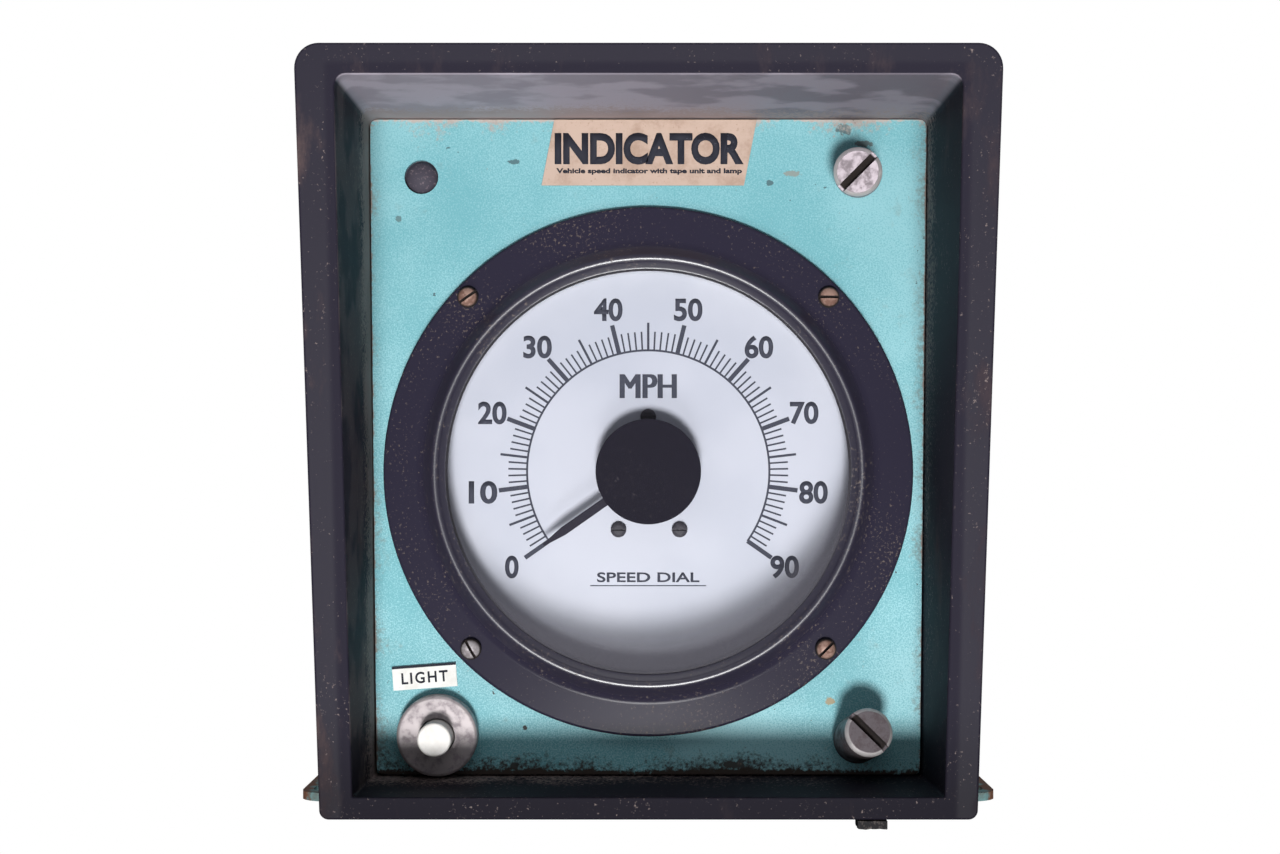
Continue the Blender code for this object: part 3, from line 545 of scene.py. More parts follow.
@dataclass(frozen=True)
class SlottedSteel(WornMetal):
    """A steel screw head with a dark slot and side, painted shade over dirt, and a bright edge, a painted
    highlight over worn metal. Sizes in millimetres.
    """

    axis: Point = (0.0, 1.0, 0.0)
    face: float = 0.0
    foot: float = 0.0
    at: Point = (0.0, 0.0, 0.0)
    edge_radius: float = 0.0
    edge: str = "#e8e3e2"

    def dress(self, add: Add, shader: bpy.types.Node, place: Source) -> None:
        """Adds the worn metal, then paints a highlight on the edge and paints shade on what lies below the
        face.
        """
        super().dress(add, shader, place)
        worn, rough = (shader.inputs[name].links[0].from_socket for name in ("Base Color", "Roughness"))
        from_face = add("VectorMath SUBTRACT", place, self.at)
        depth = add("VectorMath DOT_PRODUCT", from_face, self.axis)
        radius = add("VectorMath LENGTH", add("VectorMath CROSS_PRODUCT", from_face, self.axis))
        edge = self.edge_radius
        # Painted shade, partly dirt: the slot below the face is mixed towards near-black.
        below_face = add("MapRange", depth, (self.face + 0.35) * MM, (self.face + 0.9) * MM, **SMOOTH)
        within_edge = add("MapRange", radius, (edge + 0.35) * MM, (edge - 0.1) * MM, **SMOOTH)
        slot = add("Math MULTIPLY", below_face, within_edge)
        # Painted highlight, partly bare worn metal: a ring at the edge of the face is mixed towards
        # near-white.
        near_face = add("MapRange", depth, (self.face + 1.5) * MM, (self.face + 1.1) * MM, **SMOOTH)
        past_edge = add("MapRange", radius, (edge - 0.25) * MM, (edge + 0.1) * MM, **SMOOTH)
        bare = add("Math MULTIPLY", near_face, past_edge)
        colour = add("Mix", add("Math MULTIPLY", bare, 0.85), worn, linear(self.edge), **COLOUR)
        # Painted shade, partly dirt: the 4 mm of the side next to the panel are darkened too.
        near_foot = add("MapRange", depth, self.foot * MM - 4 * MM, self.foot * MM, **SMOOTH)
        grime_and_shade = add("Math MAXIMUM", slot, add("Math MULTIPLY", near_foot, 0.8))
        fill(shader, {
            "Base Color": add("Mix", grime_and_shade, colour, linear("#241c1a"), **COLOUR),
            "Roughness": add("Math MULTIPLY_ADD", grime_and_shade, 0.4, rough),
            "Metallic": add("Math MULTIPLY_ADD", grime_and_shade, -self.metallic, self.metallic),
        })


@dataclass(frozen=True)
class DustyGlass(Finish):
    """Flat window glass under a grey film, part dust and part painted shade over the dial, thickest low down
    and at the right. Sizes in millimetres.
    """

    wiped: Point = (-4.5, 0.0, 19.2)
    wiped_radius: float = 62.0
    thickest_radius: float = 72.5

    def dress(self, add: Add, shader: bpy.types.Node, place: Source) -> None:
        """Makes the glass see-through by alpha, and lays the film of dust and painted shade round the clear
        middle.
        """
        centre = centre_of("dial_glass")
        radius = radius_about(add, place, centre + Vector(self.wiped) * MM)
        # Painted shade, partly dust: a grey film darkens the dial outside the clear middle, most low down and
        # at the right.
        film = add("MapRange", radius, self.wiped_radius * MM, self.thickest_radius * MM, **SMOOTH)
        film = add("Math MULTIPLY", film, 0.42)
        # The film also thickens over the glass's last 2 mm, next to the bezel.
        rim = add("MapRange", radius_about(add, place, centre), 56.5 * MM, 58.5 * MM, **SMOOTH)
        grit = add("TexNoise", place, Scale=1300.0, Detail=4.0, Roughness=0.8)
        speck = add("Math MULTIPLY", add("MapRange", grit, 0.62, 0.69, **SMOOTH), film)
        film = add("Math MULTIPLY", film, add("Math MULTIPLY_ADD", grit, 0.3, 0.85))
        film = add("Math ADD", film, add("Math MULTIPLY", rim, 0.25))
        cover = add("Math ADD", film, add("Math MULTIPLY", speck, 0.3))
        fill(shader, {
            "Base Color": add("Mix", speck, linear(self.colour), linear("#a39f9f"), **COLOUR),
            "Alpha": add("Math MINIMUM", add("Math ADD", cover, 0.02), 0.92),
            "IOR": 1.5,
        })


@dataclass(frozen=True)
class OpalAcrylic(Finish):
    """Milky acrylic sheet, smooth, faintly blue, a little uneven in tone."""

    aged: str = "#c1c5d3"

    def dress(self, add: Add, shader: bpy.types.Node, place: Source) -> None:
        """Adds slow changes of tone, 33 mm apart, as dust and age leave on a dial."""
        share = add("MapRange", add("TexNoise", place, Scale=30.0, Detail=3.0), 0.35, 0.7, **SMOOTH)
        colour = add("Mix", share, linear(self.colour), linear(self.aged), **COLOUR)
        fill(shader, {"Base Color": colour, "IOR": 1.49})


@dataclass(frozen=True)
class AgedLabel(Finish):
    """Printed label stock or pale plastic, yellowed, with stains and fine dirt."""

    stain: str = "#8f7464"

    def dress(self, add: Add, shader: bpy.types.Node, place: Source) -> None:
        """Adds blotches of stain 8 mm apart, and specks of dirt 0.9 mm apart."""
        blotch = add("TexNoise", place, Scale=120.0, Detail=6.0, Roughness=0.7)
        grit = add("TexNoise", place, Scale=1100.0, Detail=3.0)
        share = add("Math MULTIPLY", add("MapRange", blotch, 0.42, 0.75, **SMOOTH), 0.6)
        specks = add("Math MULTIPLY", add("MapRange", grit, 0.62, 0.72, **SMOOTH), 0.4)
        dirt = add("Math MAXIMUM", share, specks)
        fill(shader, {"Base Color": add("Mix", dirt, linear(self.colour), linear(self.stain), **COLOUR)})


# Stoved hammertone enamel: its dimples break the light into fine flecks, and chips show dark primer.
PANEL_ENAMEL = PanelEnamel("panel_hammertone_enamel", "#70b6bf", 0.5, light="#a2d8df")
CASE_ENAMEL = HammertoneEnamel("case_hammertone_enamel", "#6fa2a9", 0.5, light="#93bdc4")
# The same enamel under track dirt: flat and grey, with rust where the metal shows.
BASE_ENAMEL = SoiledEnamel("base_plate_soiled_enamel", "#6a8f90", 0.6)
# Brushed-on enamel: thick and satin, so light pools softly on it; dust shows as a pale film, and under the
# roof that film is also a painted reflection.
HOOD_ENAMEL = HoodEnamel("hood_blue_black_enamel", "#282531", 0.42)
# Sprayed enamel on spun metal: a matt, dusty flange round a wiped bead that carries one long highlight.
BEZEL_ENAMEL = BezelEnamel("bezel_black_enamel", "#2e2b3a", 0.2, dust="#7d7068", amount=-0.01, gloss=0.06)
# Moulded plastics: even and nearly matt, so they read as flat dark shapes.
HUB_PLASTIC = DustedPaint("hub_cover_abs", "#211f29", 0.6, dust="#5a5559", amount=-0.06, gloss=0.03)
PLUG_PLASTIC = DustedPaint("plug_nylon", "#4a4650", 0.55, dust="#84767c", amount=0.02, gloss=0.1)
BLACK_ABS = DustedPaint("moulded_black_abs", "#1b1b1f", 0.45)
# Window glass: clear in the middle; towards its edge a grey film, part dust and part painted shade, darkens
# the dial behind it.
GLASS = DustyGlass("dust_and_shade_window_glass", "#5f5d66", 0.12)
# Opal acrylic: an even, faintly blue white without grain.
ACRYLIC = OpalAcrylic("opal_acrylic", "#cccfdc", 0.35)
# Screen-printed ink: a thin matt layer. On the opal dial it is painted a lighter grey, painted light for the
# glow that the sheet spreads over it.
INK = DustedPaint("printed_ink", "#33343d", 0.6, dust="#5c5e69", amount=-0.04, gloss=0.05)
DIAL_INK = DustedPaint("opal_backed_ink", "#4b4d59", 0.6, dust="#6a6c78", amount=-0.02, gloss=0.05)
# Chemically blackened steel and pointer enamel: dark grey, with hardly any highlight.
DIAL_SCREW = DustedPaint("blackened_steel", "#45434a", 0.5, dust="#77737a", gloss=0.2)
POINTER_ENAMEL = DustedPaint("pointer_enamel", "#34323c", 0.6, amount=-0.06, gloss=0.05)
# Bare and plated metals: soft reflections, broken by tarnish that is darker and rougher.
BRIGHT_STEEL = WornMetal("turned_bright_steel", "#b8aeb0", 0.34, 1.0, tarnish="#877c7c", share=0.35)
DULL_STEEL = WornMetal("turned_dull_steel", "#8a8183", 0.4, 1.0, tarnish="#5b4f4f", share=0.5)
SWITCH_STEEL = WornMetal("brushed_nickel_plate", "#b8afb0", 0.5, 0.35, tarnish="#a0969a", share=0.35)
ZINC = WornMetal("zinc_plate", "#b9b7ad", 0.36, 1.0, tarnish="#8d8a80", share=0.35)
ALUMINIUM = WornMetal("rolled_aluminium", "#c6c8cc", 0.36, 1.0, tarnish="#a3a5a9", share=0.3)
BRASS = WornMetal("turned_brass", "#c9a257", 0.3, 1.0, tarnish="#93713a", share=0.35)
COPPER = WornMetal("enamelled_copper_wire", "#b06a42", 0.35, 1.0, tarnish="#7c4527", share=0.4)
# Rubber: matt black that holds dust.
RUBBER = DustedPaint("worn_rubber", "#1f1e20", 0.8, dust="#6b6460", amount=0.06)
# White nylon and label stocks: pale and matt, yellowed in blotches.
WHITE_PLASTIC = AgedLabel("white_moulded_nylon", "#f4f1ec", 0.35, stain="#d9d2c8")
CREAM_LABEL = AgedLabel("cream_label_stock", "#c3aa9a", 0.6, stain="#95755f")
WHITE_LABEL = AgedLabel("white_tape_label", "#f3f2ee", 0.45, stain="#d4d0c6")
# Glass-fibre laminate and oxide tape: even green and brown, with a slight sheen.
LAMINATE = AgedLabel("green_glass_laminate", "#2f6a45", 0.4, stain="#24543a")
TAPE = AgedLabel("brown_oxide_tape", "#4a2f22", 0.3, stain="#33211a")


# ------------------------------------------------------------------ modelling by hand

CURVE_STEPS = 5
INK_THICKNESS = 0.06


class Part(Enum):
    """What a selection picks."""

    VERTEX = "VERT"
    EDGE = "EDGE"
    FACE = "FACE"


def clear_selection() -> None:
    """Leaves edit mode and deselects every object."""
    if bpy.context.object and bpy.context.object.mode != "OBJECT":
        bpy.ops.object.mode_set(mode="OBJECT")
    bpy.ops.object.select_all(action="DESELECT")


def take(piece: bpy.types.Object) -> bpy.types.Object:
    """Makes a piece the only selected and active object.

    Args:
        piece: The piece.

    Returns:
        The same piece.
    """
    clear_selection()
    piece.select_set(True)
    bpy.context.view_layer.objects.active = piece
    return piece


def pick(piece: bpy.types.Object, part: Part, test: Callable[[Vector, Vector], bool]) -> None:
    """Selects parts of a mesh and stays in edit mode.

    Args:
        piece: The mesh object.
        part: Whether to pick vertices, edges or faces.
        test: Gets the part's middle and its normal, or an edge's direction, and says if it is picked.
    """
    take(piece)
    bpy.ops.object.mode_set(mode="EDIT")
    bpy.ops.mesh.select_mode(type=part.value)
    bpy.ops.mesh.select_all(action="DESELECT")
    bpy.ops.object.mode_set(mode="OBJECT")
    mesh = piece.data
    if part is Part.FACE:
        for face in mesh.polygons:
            face.select = test(face.center, face.normal)
    elif part is Part.EDGE:
        for edge in mesh.edges:
            first, second = (mesh.vertices[i].co for i in edge.vertices)
            edge.select = test((first + second) / 2, (second - first).normalized())
    else:
        for vertex in mesh.vertices:
            vertex.select = test(vertex.co, vertex.normal)
    bpy.ops.object.mode_set(mode="EDIT")


def block(name: str, low: Sequence[float], high: Sequence[float]) -> bpy.types.Object:
    """Adds a cube stretched between two corners, its place held in its mesh.

    Args:
        name: The piece's name.
        low: Lowest corner, in metres.
        high: Highest corner, in metres.

    Returns:
        The new piece.
    """
    clear_selection()
    centre = (Vector(low) + Vector(high)) / 2
    bpy.ops.mesh.primitive_cube_add(size=1.0, location=centre)
    piece = bpy.context.object
    piece.name = name
    piece.scale = Vector(high) - Vector(low)
    bpy.ops.object.transform_apply(location=True, rotation=True, scale=True)
    return piece


def lathe(
    name: str,
    stations: Sequence[tuple[float, float]],
    facets: int,
    at: Sequence[float],
    hollow: bool = False,
    along: Sequence[float] = DIAL_AXIS,
) -> bpy.types.Object:
    """Turns a piece from a circle that is extruded and resized from station to station.

    Args:
        name: The piece's name.
        stations: Radius and distance along the axis of each station, in millimetres.
        facets: Facets round the piece.
        at: Where distance 0 lies, in metres.
        hollow: Joins the last station to the first, which leaves a ring.
        along: The axis's direction.

    Returns:
        The new piece.
    """
    clear_selection()
    radius, height = stations[0]
    bpy.ops.mesh.primitive_circle_add(vertices=facets, radius=radius * MM, location=(0, 0, 0))
    piece = bpy.context.object
    piece.name = name
    bpy.ops.object.mode_set(mode="EDIT")
    bpy.ops.mesh.select_mode(type=Part.VERTEX.value)
    bpy.ops.mesh.select_all(action="SELECT")
    bpy.ops.transform.translate(value=(0, 0, height * MM))
    for next_radius, next_height in stations[1:]:
        step = {"value": (0, 0, (next_height - height) * MM)}
        bpy.ops.mesh.extrude_region_move(TRANSFORM_OT_translate=step)
        share = next_radius / radius
        bpy.ops.transform.resize(value=(share, share, 1))
        radius, height = next_radius, next_height
    if hollow:
        bpy.ops.mesh.select_mode(type=Part.EDGE.value)
        bpy.ops.mesh.select_all(action="DESELECT")
        bpy.ops.mesh.select_non_manifold()
        bpy.ops.mesh.bridge_edge_loops()
    else:
        bpy.ops.mesh.select_all(action="SELECT")
        bpy.ops.mesh.fill_holes(sides=0)
    bpy.ops.mesh.select_all(action="SELECT")
    bpy.ops.mesh.normals_make_consistent(inside=False)
    bpy.ops.object.mode_set(mode="OBJECT")
    piece.rotation_mode = "QUATERNION"
    piece.rotation_quaternion = Vector((0, 0, 1)).rotation_difference(Vector(along))
    piece.location = at
    bpy.ops.object.transform_apply(location=True, rotation=True, scale=True)
    return piece


def turn_about(piece: bpy.types.Object, centre: Sequence[float], turn: Quaternion) -> bpy.types.Object:
    """Turns a piece about a point and applies the turn to its mesh.

    Args:
        piece: The piece, with its place in its mesh.
        centre: The point that stays, in metres.
        turn: The rotation.

    Returns:
        The same piece.
    """
    take(piece)
    pivot = Vector(centre)
    piece.rotation_mode = "QUATERNION"
    piece.rotation_quaternion = turn
    piece.location = pivot - turn @ pivot
    bpy.ops.object.transform_apply(location=True, rotation=True, scale=True)
    return piece


def carve(piece: bpy.types.Object, *cutters: bpy.types.Object) -> bpy.types.Object:
    """Cuts other pieces out of a piece with applied Booleans, and removes them.

    Args:
        piece: The piece that is cut.
        cutters: The pieces cut out of it.

    Returns:
        The cut piece.
    """
    for cutter in cutters:
        take(piece)
        modifier = piece.modifiers.new("carve", "BOOLEAN")
        modifier.operation = "DIFFERENCE"
        modifier.object = cutter
        bpy.ops.object.modifier_apply(modifier=modifier.name)
        bpy.data.objects.remove(cutter)
    return piece


def soften(piece: bpy.types.Object, width: float, segments: int = 3, angle: float = 35.0) -> bpy.types.Object:
    """Rounds a piece's sharp edges and shades it smooth.

    Args:
        piece: The piece.
        width: Width of the rounding, in millimetres. Nothing is rounded at 0.
        segments: Facets across each rounding.
        angle: Edges sharper than this many degrees are rounded.

    Returns:
        The same piece.
    """
    take(piece)
    if width > 0:
        modifier = piece.modifiers.new("round", "BEVEL")
        modifier.width = width * MM
        modifier.segments = segments
        modifier.limit_method = "ANGLE"
        modifier.angle_limit = math.radians(angle)
        bpy.ops.object.modifier_apply(modifier=modifier.name)
    bpy.ops.object.shade_smooth_by_angle(angle=math.radians(angle))
    modifier = piece.modifiers.new("normals", "WEIGHTED_NORMAL")
    modifier.keep_sharp = True
    bpy.ops.object.modifier_apply(modifier=modifier.name)
    return piece


def join(name: str, pieces: Sequence[bpy.types.Object]) -> bpy.types.Object:
    """Joins pieces into one object.

    Args:
        name: The joined piece's name.
        pieces: The pieces.

    Returns:
        The joined piece.
    """
    take(pieces[0])
    for piece in pieces[1:]:
        piece.select_set(True)
    bpy.ops.object.join()
    bpy.context.object.name = name
    return bpy.context.object


def lettering(
    words: str, height: float, width: float, at: Sequence[float], weight: float = 0.02, spacing: float = 1.0
) -> bpy.types.Object:
    """Sets upright lettering that faces the reader, as a thin raised mesh.

    Args:
        words: What it says.
        height: Height of a capital, in millimetres.
        width: Width of the whole line, in millimetres.
        at: Centre of the line on the surface it is printed on, in metres.
        weight: How much the strokes are thickened, as a share of the letter size.
        spacing: Space between letters, as a share of the usual.

    Returns:
        The lettering.
    """
    clear_selection()
    bpy.ops.object.text_add(location=(0, 0, 0))
    line = bpy.context.object
    line.data.body = words
    line.data.align_x = "CENTER"
    line.data.align_y = "CENTER"
    line.data.offset = weight
    line.data.space_character = spacing
    line.data.resolution_u = CURVE_STEPS
    bpy.ops.object.convert(target="MESH")
    line = bpy.context.object
    corners = [Vector(corner) for corner in line.bound_box]
    low = Vector((min(c.x for c in corners), min(c.y for c in corners), 0))
    high = Vector((max(c.x for c in corners), max(c.y for c in corners), 0))
    line.location = -(low + high) / 2
    bpy.ops.object.transform_apply(location=True, rotation=True, scale=True)
    line.scale = (width * MM / (high.x - low.x), height * MM / (high.y - low.y), 1)
    bpy.ops.object.transform_apply(location=True, rotation=True, scale=True)
    take(line)
    modifier = line.modifiers.new("ink", "SOLIDIFY")
    modifier.thickness = INK_THICKNESS * MM
    modifier.offset = 1.0
    bpy.ops.object.modifier_apply(modifier=modifier.name)
    line.rotation_euler = (math.pi / 2, 0, 0)
    line.location = at
    bpy.ops.object.transform_apply(location=True, rotation=True, scale=True)
    return line


def settle(
    piece: bpy.types.Object, finish: Finish, body: str, replaced: Sequence[str] = ()
) -> bpy.types.Object:
    """Dresses a finished piece and hands it to the frame.

    Args:
        piece: The finished piece.
        finish: Its finish.
        body: The CAD body that it moves with.
        replaced: CAD nodes that it stands for.

    Returns:
        The same piece.
    """
    clear_selection()
    piece.data.materials.clear()
    piece.data.materials.append(finish.material())
    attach(piece, body)
    if replaced:
        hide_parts(*replaced)
    LOG.info("%s: %d faces, rides on %s", piece.name, len(piece.data.polygons), body)
    return piece


def dress_node(nodes: dict[str, bpy.types.Object], name: str, finish: Finish) -> None:
    """Gives a carried-over CAD node its finish.

    Args:
        nodes: The frame's nodes by name.
        name: The node's name.
        finish: Its finish.
    """
    node = nodes[name]
    node.data.materials.clear()
    node.data.materials.append(finish.material())
    LOG.info("%s: dressed in %s", name, finish.name)


# ------------------------------------------------------------------ hood


@dataclass
class GlareHood:
    """The thick raked hood round the panel, with the rubber bumper under its lip. Sizes in millimetres."""

    half_low: float = 88.8
    half_high: float = 91.0
    reach_low: float = 41.0
    round_top: float = 6.5
    round_foot: float = 2.5
    lip_round: float = 1.2
    mouth_half_low: float = 78.8
    mouth_half_high: float = 80.7
    lip_half_low: float = 80.1
    mouth_round: float = 3.0
    sill: float = 8.5
    lip_drop: float = 0.6
    ceiling: float = 198.5
    flare: float = 60.0

    def build(self) -> None:
        """Builds the hood and its bumper."""
        self.shell()
        self.bumper()

    def shell(self) -> None:
        """A block, tapered and raked, with its long corners rounded and its mouth cut through."""
        low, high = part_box("glare_hood")
        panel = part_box("front_panel")[0].y
        piece = block("glare_hood_shell", low, high)
        self.taper(piece, low.z, self.half_low * MM, self.half_high * MM)
        pick(piece, Part.VERTEX, lambda place, normal: place.y < panel and place.z < low.z + MM)
        bpy.ops.transform.translate(value=(0, panel - self.reach_low * MM - low.y, 0))
        for radius, height in ((self.round_top, high.z), (self.round_foot, low.z)):
            pick(piece, Part.EDGE, lambda place, way: abs(place.z - height) < MM and abs(way.y) > 0.9)
            bpy.ops.mesh.bevel(offset=radius * MM, segments=10, profile=0.5)
        clear_selection()
        carve(piece, self.mouth(panel, low.y, high.y))
        soften(piece, self.lip_round, 4)
        settle(piece, HOOD_ENAMEL, "root", ["glare_hood"])

    def taper(self, piece: bpy.types.Object, floor: float, half_low: float, half_high: float) -> None:
        """Narrows or widens a block at its floor and at its top.

        Args:
            piece: The block.
            floor: The Z of its floor, in metres.
            half_low: Half width at the floor, in metres.
            half_high: Half width at the top, in metres.
        """
        for at_floor, half in ((True, half_low), (False, half_high)):
            pick(piece, Part.VERTEX, lambda place, normal: (place.z < floor + 10 * MM) == at_floor)
            bpy.ops.object.mode_set(mode="OBJECT")
            now = max(abs(v.co.x) for v in piece.data.vertices if v.select)
            bpy.ops.object.mode_set(mode="EDIT")
            bpy.ops.transform.resize(value=(half / now, 1, 1))
        clear_selection()

    def mouth(self, panel: float, front: float, rear: float) -> bpy.types.Object:
        """The cutter for the hood's inside: straight behind the panel, flaring a little towards the lip.

        Args:
            panel: The Y of the panel's front.
            front: The Y of the hood's foremost point.
            rear: The Y of the hood's rear face.

        Returns:
            The cutter.
        """
        flare, half = self.flare * MM, self.mouth_half_high * MM
        low, high = (-half, panel - flare, self.sill * MM), (half, rear + 5 * MM, self.ceiling * MM)
        core = block("mouth", low, high)
        self.taper(core, self.sill * MM, self.mouth_half_low * MM, half)
        pick(core, Part.FACE, lambda place, normal: normal.y < -0.9)
        onward = (0, front - panel + flare - 10 * MM, 0)
        bpy.ops.mesh.extrude_region_move(TRANSFORM_OT_translate={"value": onward})
        bpy.ops.object.mode_set(mode="OBJECT")
        pick(core, Part.VERTEX, lambda place, normal: place.y < panel - flare / 2 and place.z < 20 * MM)
        bpy.ops.transform.resize(value=(self.lip_half_low / self.mouth_half_low, 1, 1))
        bpy.ops.transform.translate(value=(0, 0, self.lip_drop * MM))
        bpy.ops.object.mode_set(mode="OBJECT")
        pick(core, Part.EDGE, lambda place, way: place.z > self.ceiling * MM - 0.5 * MM and abs(way.y) > 0.9)
        bpy.ops.mesh.bevel(offset=self.mouth_round * MM, segments=6, profile=0.5)
        clear_selection()
        return core

    def bumper(self) -> None:
        """A small rubber block, subdivided, its underside and front rubbed into waves by wear."""
        low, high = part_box("hood_bumper")
        piece = block("hood_bumper_block", low, high)
        take(piece)
        bpy.ops.object.mode_set(mode="EDIT")
        bpy.ops.mesh.select_all(action="SELECT")
        bpy.ops.mesh.subdivide(number_cuts=7)
        bpy.ops.mesh.select_all(action="DESELECT")
        bpy.ops.object.mode_set(mode="OBJECT")
        for vertex in piece.data.vertices:
            x, y, z = (vertex.co - low) / MM
            wear = 0.35 * math.sin(x * 2.1 + 1.0) * math.sin(y * 1.7) + 0.25 * math.sin(x * 5.3 + y * 3.1)
            depth = 1.0 - z / ((high.z - low.z) / MM)
            vertex.co.z += max(0.0, wear + 0.15) * depth * MM
            vertex.co.y += 0.3 * math.sin(x * 1.9) * MM * (1 if y < 0.2 else 0)
        soften(piece, 0.25, 2, 60)
        settle(piece, RUBBER, "root", ["hood_bumper"])


# ------------------------------------------------------------------ panel


@dataclass
class FrontPanel:
    """The panel with its labels and the plug in its spare hole. Sizes in millimetres."""

    nodes: dict[str, bpy.types.Object]
    label_slant: float = 3.7
    strip_half: tuple[float, float] = (9.25, 3.45)
    strip_tilt: float = -4.3

    def build(self) -> None:
        """Dresses the plate and builds what is stuck on it."""
        dress_node(self.nodes, "front_panel", PANEL_ENAMEL)
        self.name_label()
        self.light_label()
        self.plug()

    def name_label(self) -> None:
        """A cream parallelogram with plain upright words."""
        low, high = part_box("name_label")
        centre = centre_of("name_label", low.y)
        piece = block("name_label_plate", low, high)
        for side in (1, -1):
            pick(piece, Part.VERTEX, lambda at, normal: at.x * side > 0 and (at.z < centre.z) == (side > 0))
            bpy.ops.transform.translate(value=(-side * self.label_slant * MM, 0, 0))
            bpy.ops.object.mode_set(mode="OBJECT")
        soften(piece, 0.12, 2)
        settle(piece, CREAM_LABEL, "chassis", ["name_label"])
        words = []
        for line, height, width, rise, weight in (
            ("INDICATOR", 9.2, 54.5, 10.6, 0.05),
            ("Vehicle speed indicator with tape unit and lamp", 1.9, 53.5, 4.0, 0.04),
        ):
            words.append(lettering(line, height, width, (centre.x, low.y, low.z + rise * MM), weight))
        settle(join("name_label_words", words), INK, "chassis")

    def light_label(self) -> None:
        """A white strip, stuck on at a slight tilt, with a thin black line along its top."""
        low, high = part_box("light_label")
        centre = (low + high) / 2
        tilt = Quaternion(DIAL_AXIS, math.radians(self.strip_tilt))
        half, tall = (side * MM for side in self.strip_half)
        left, right, top = centre.x - half, centre.x + half, centre.z + tall
        strip = block("light_label_strip", (left, low.y, centre.z - tall), (right, high.y, top))
        turn_about(soften(strip, 0.08, 2), centre, tilt)
        settle(strip, WHITE_LABEL, "chassis", ["light_label"])
        line = block("line", (left, low.y - 0.05 * MM, top - 0.7 * MM), (right, low.y + 0.05 * MM, top))
        words = lettering("LIGHT", 3.3, 13.4, (centre.x, low.y, centre.z - 0.2 * MM), 0.022, spacing=1.25)
        words = turn_about(join("light_label_words", [words, line]), centre, tilt)
        settle(words, INK, "chassis")

    def plug(self) -> None:
        """The domed plug that closes the spare hole."""
        centre = centre_of("blanking_plug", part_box("blanking_plug")[0].y)
        dome = [(0.3, 0.0), (1.5, 0.1), (2.7, 0.5), (3.7, 1.1), (4.4, 1.9), (4.6, 2.6)]
        piece = lathe("blanking_plug_dome", [*dome, (4.6, 2.9), (6.2, 2.9), (6.2, 4.2)], 64, centre)
        settle(soften(piece, 0.0), PLUG_PLASTIC, "chassis", ["blanking_plug"])


# ------------------------------------------------------------------ meter


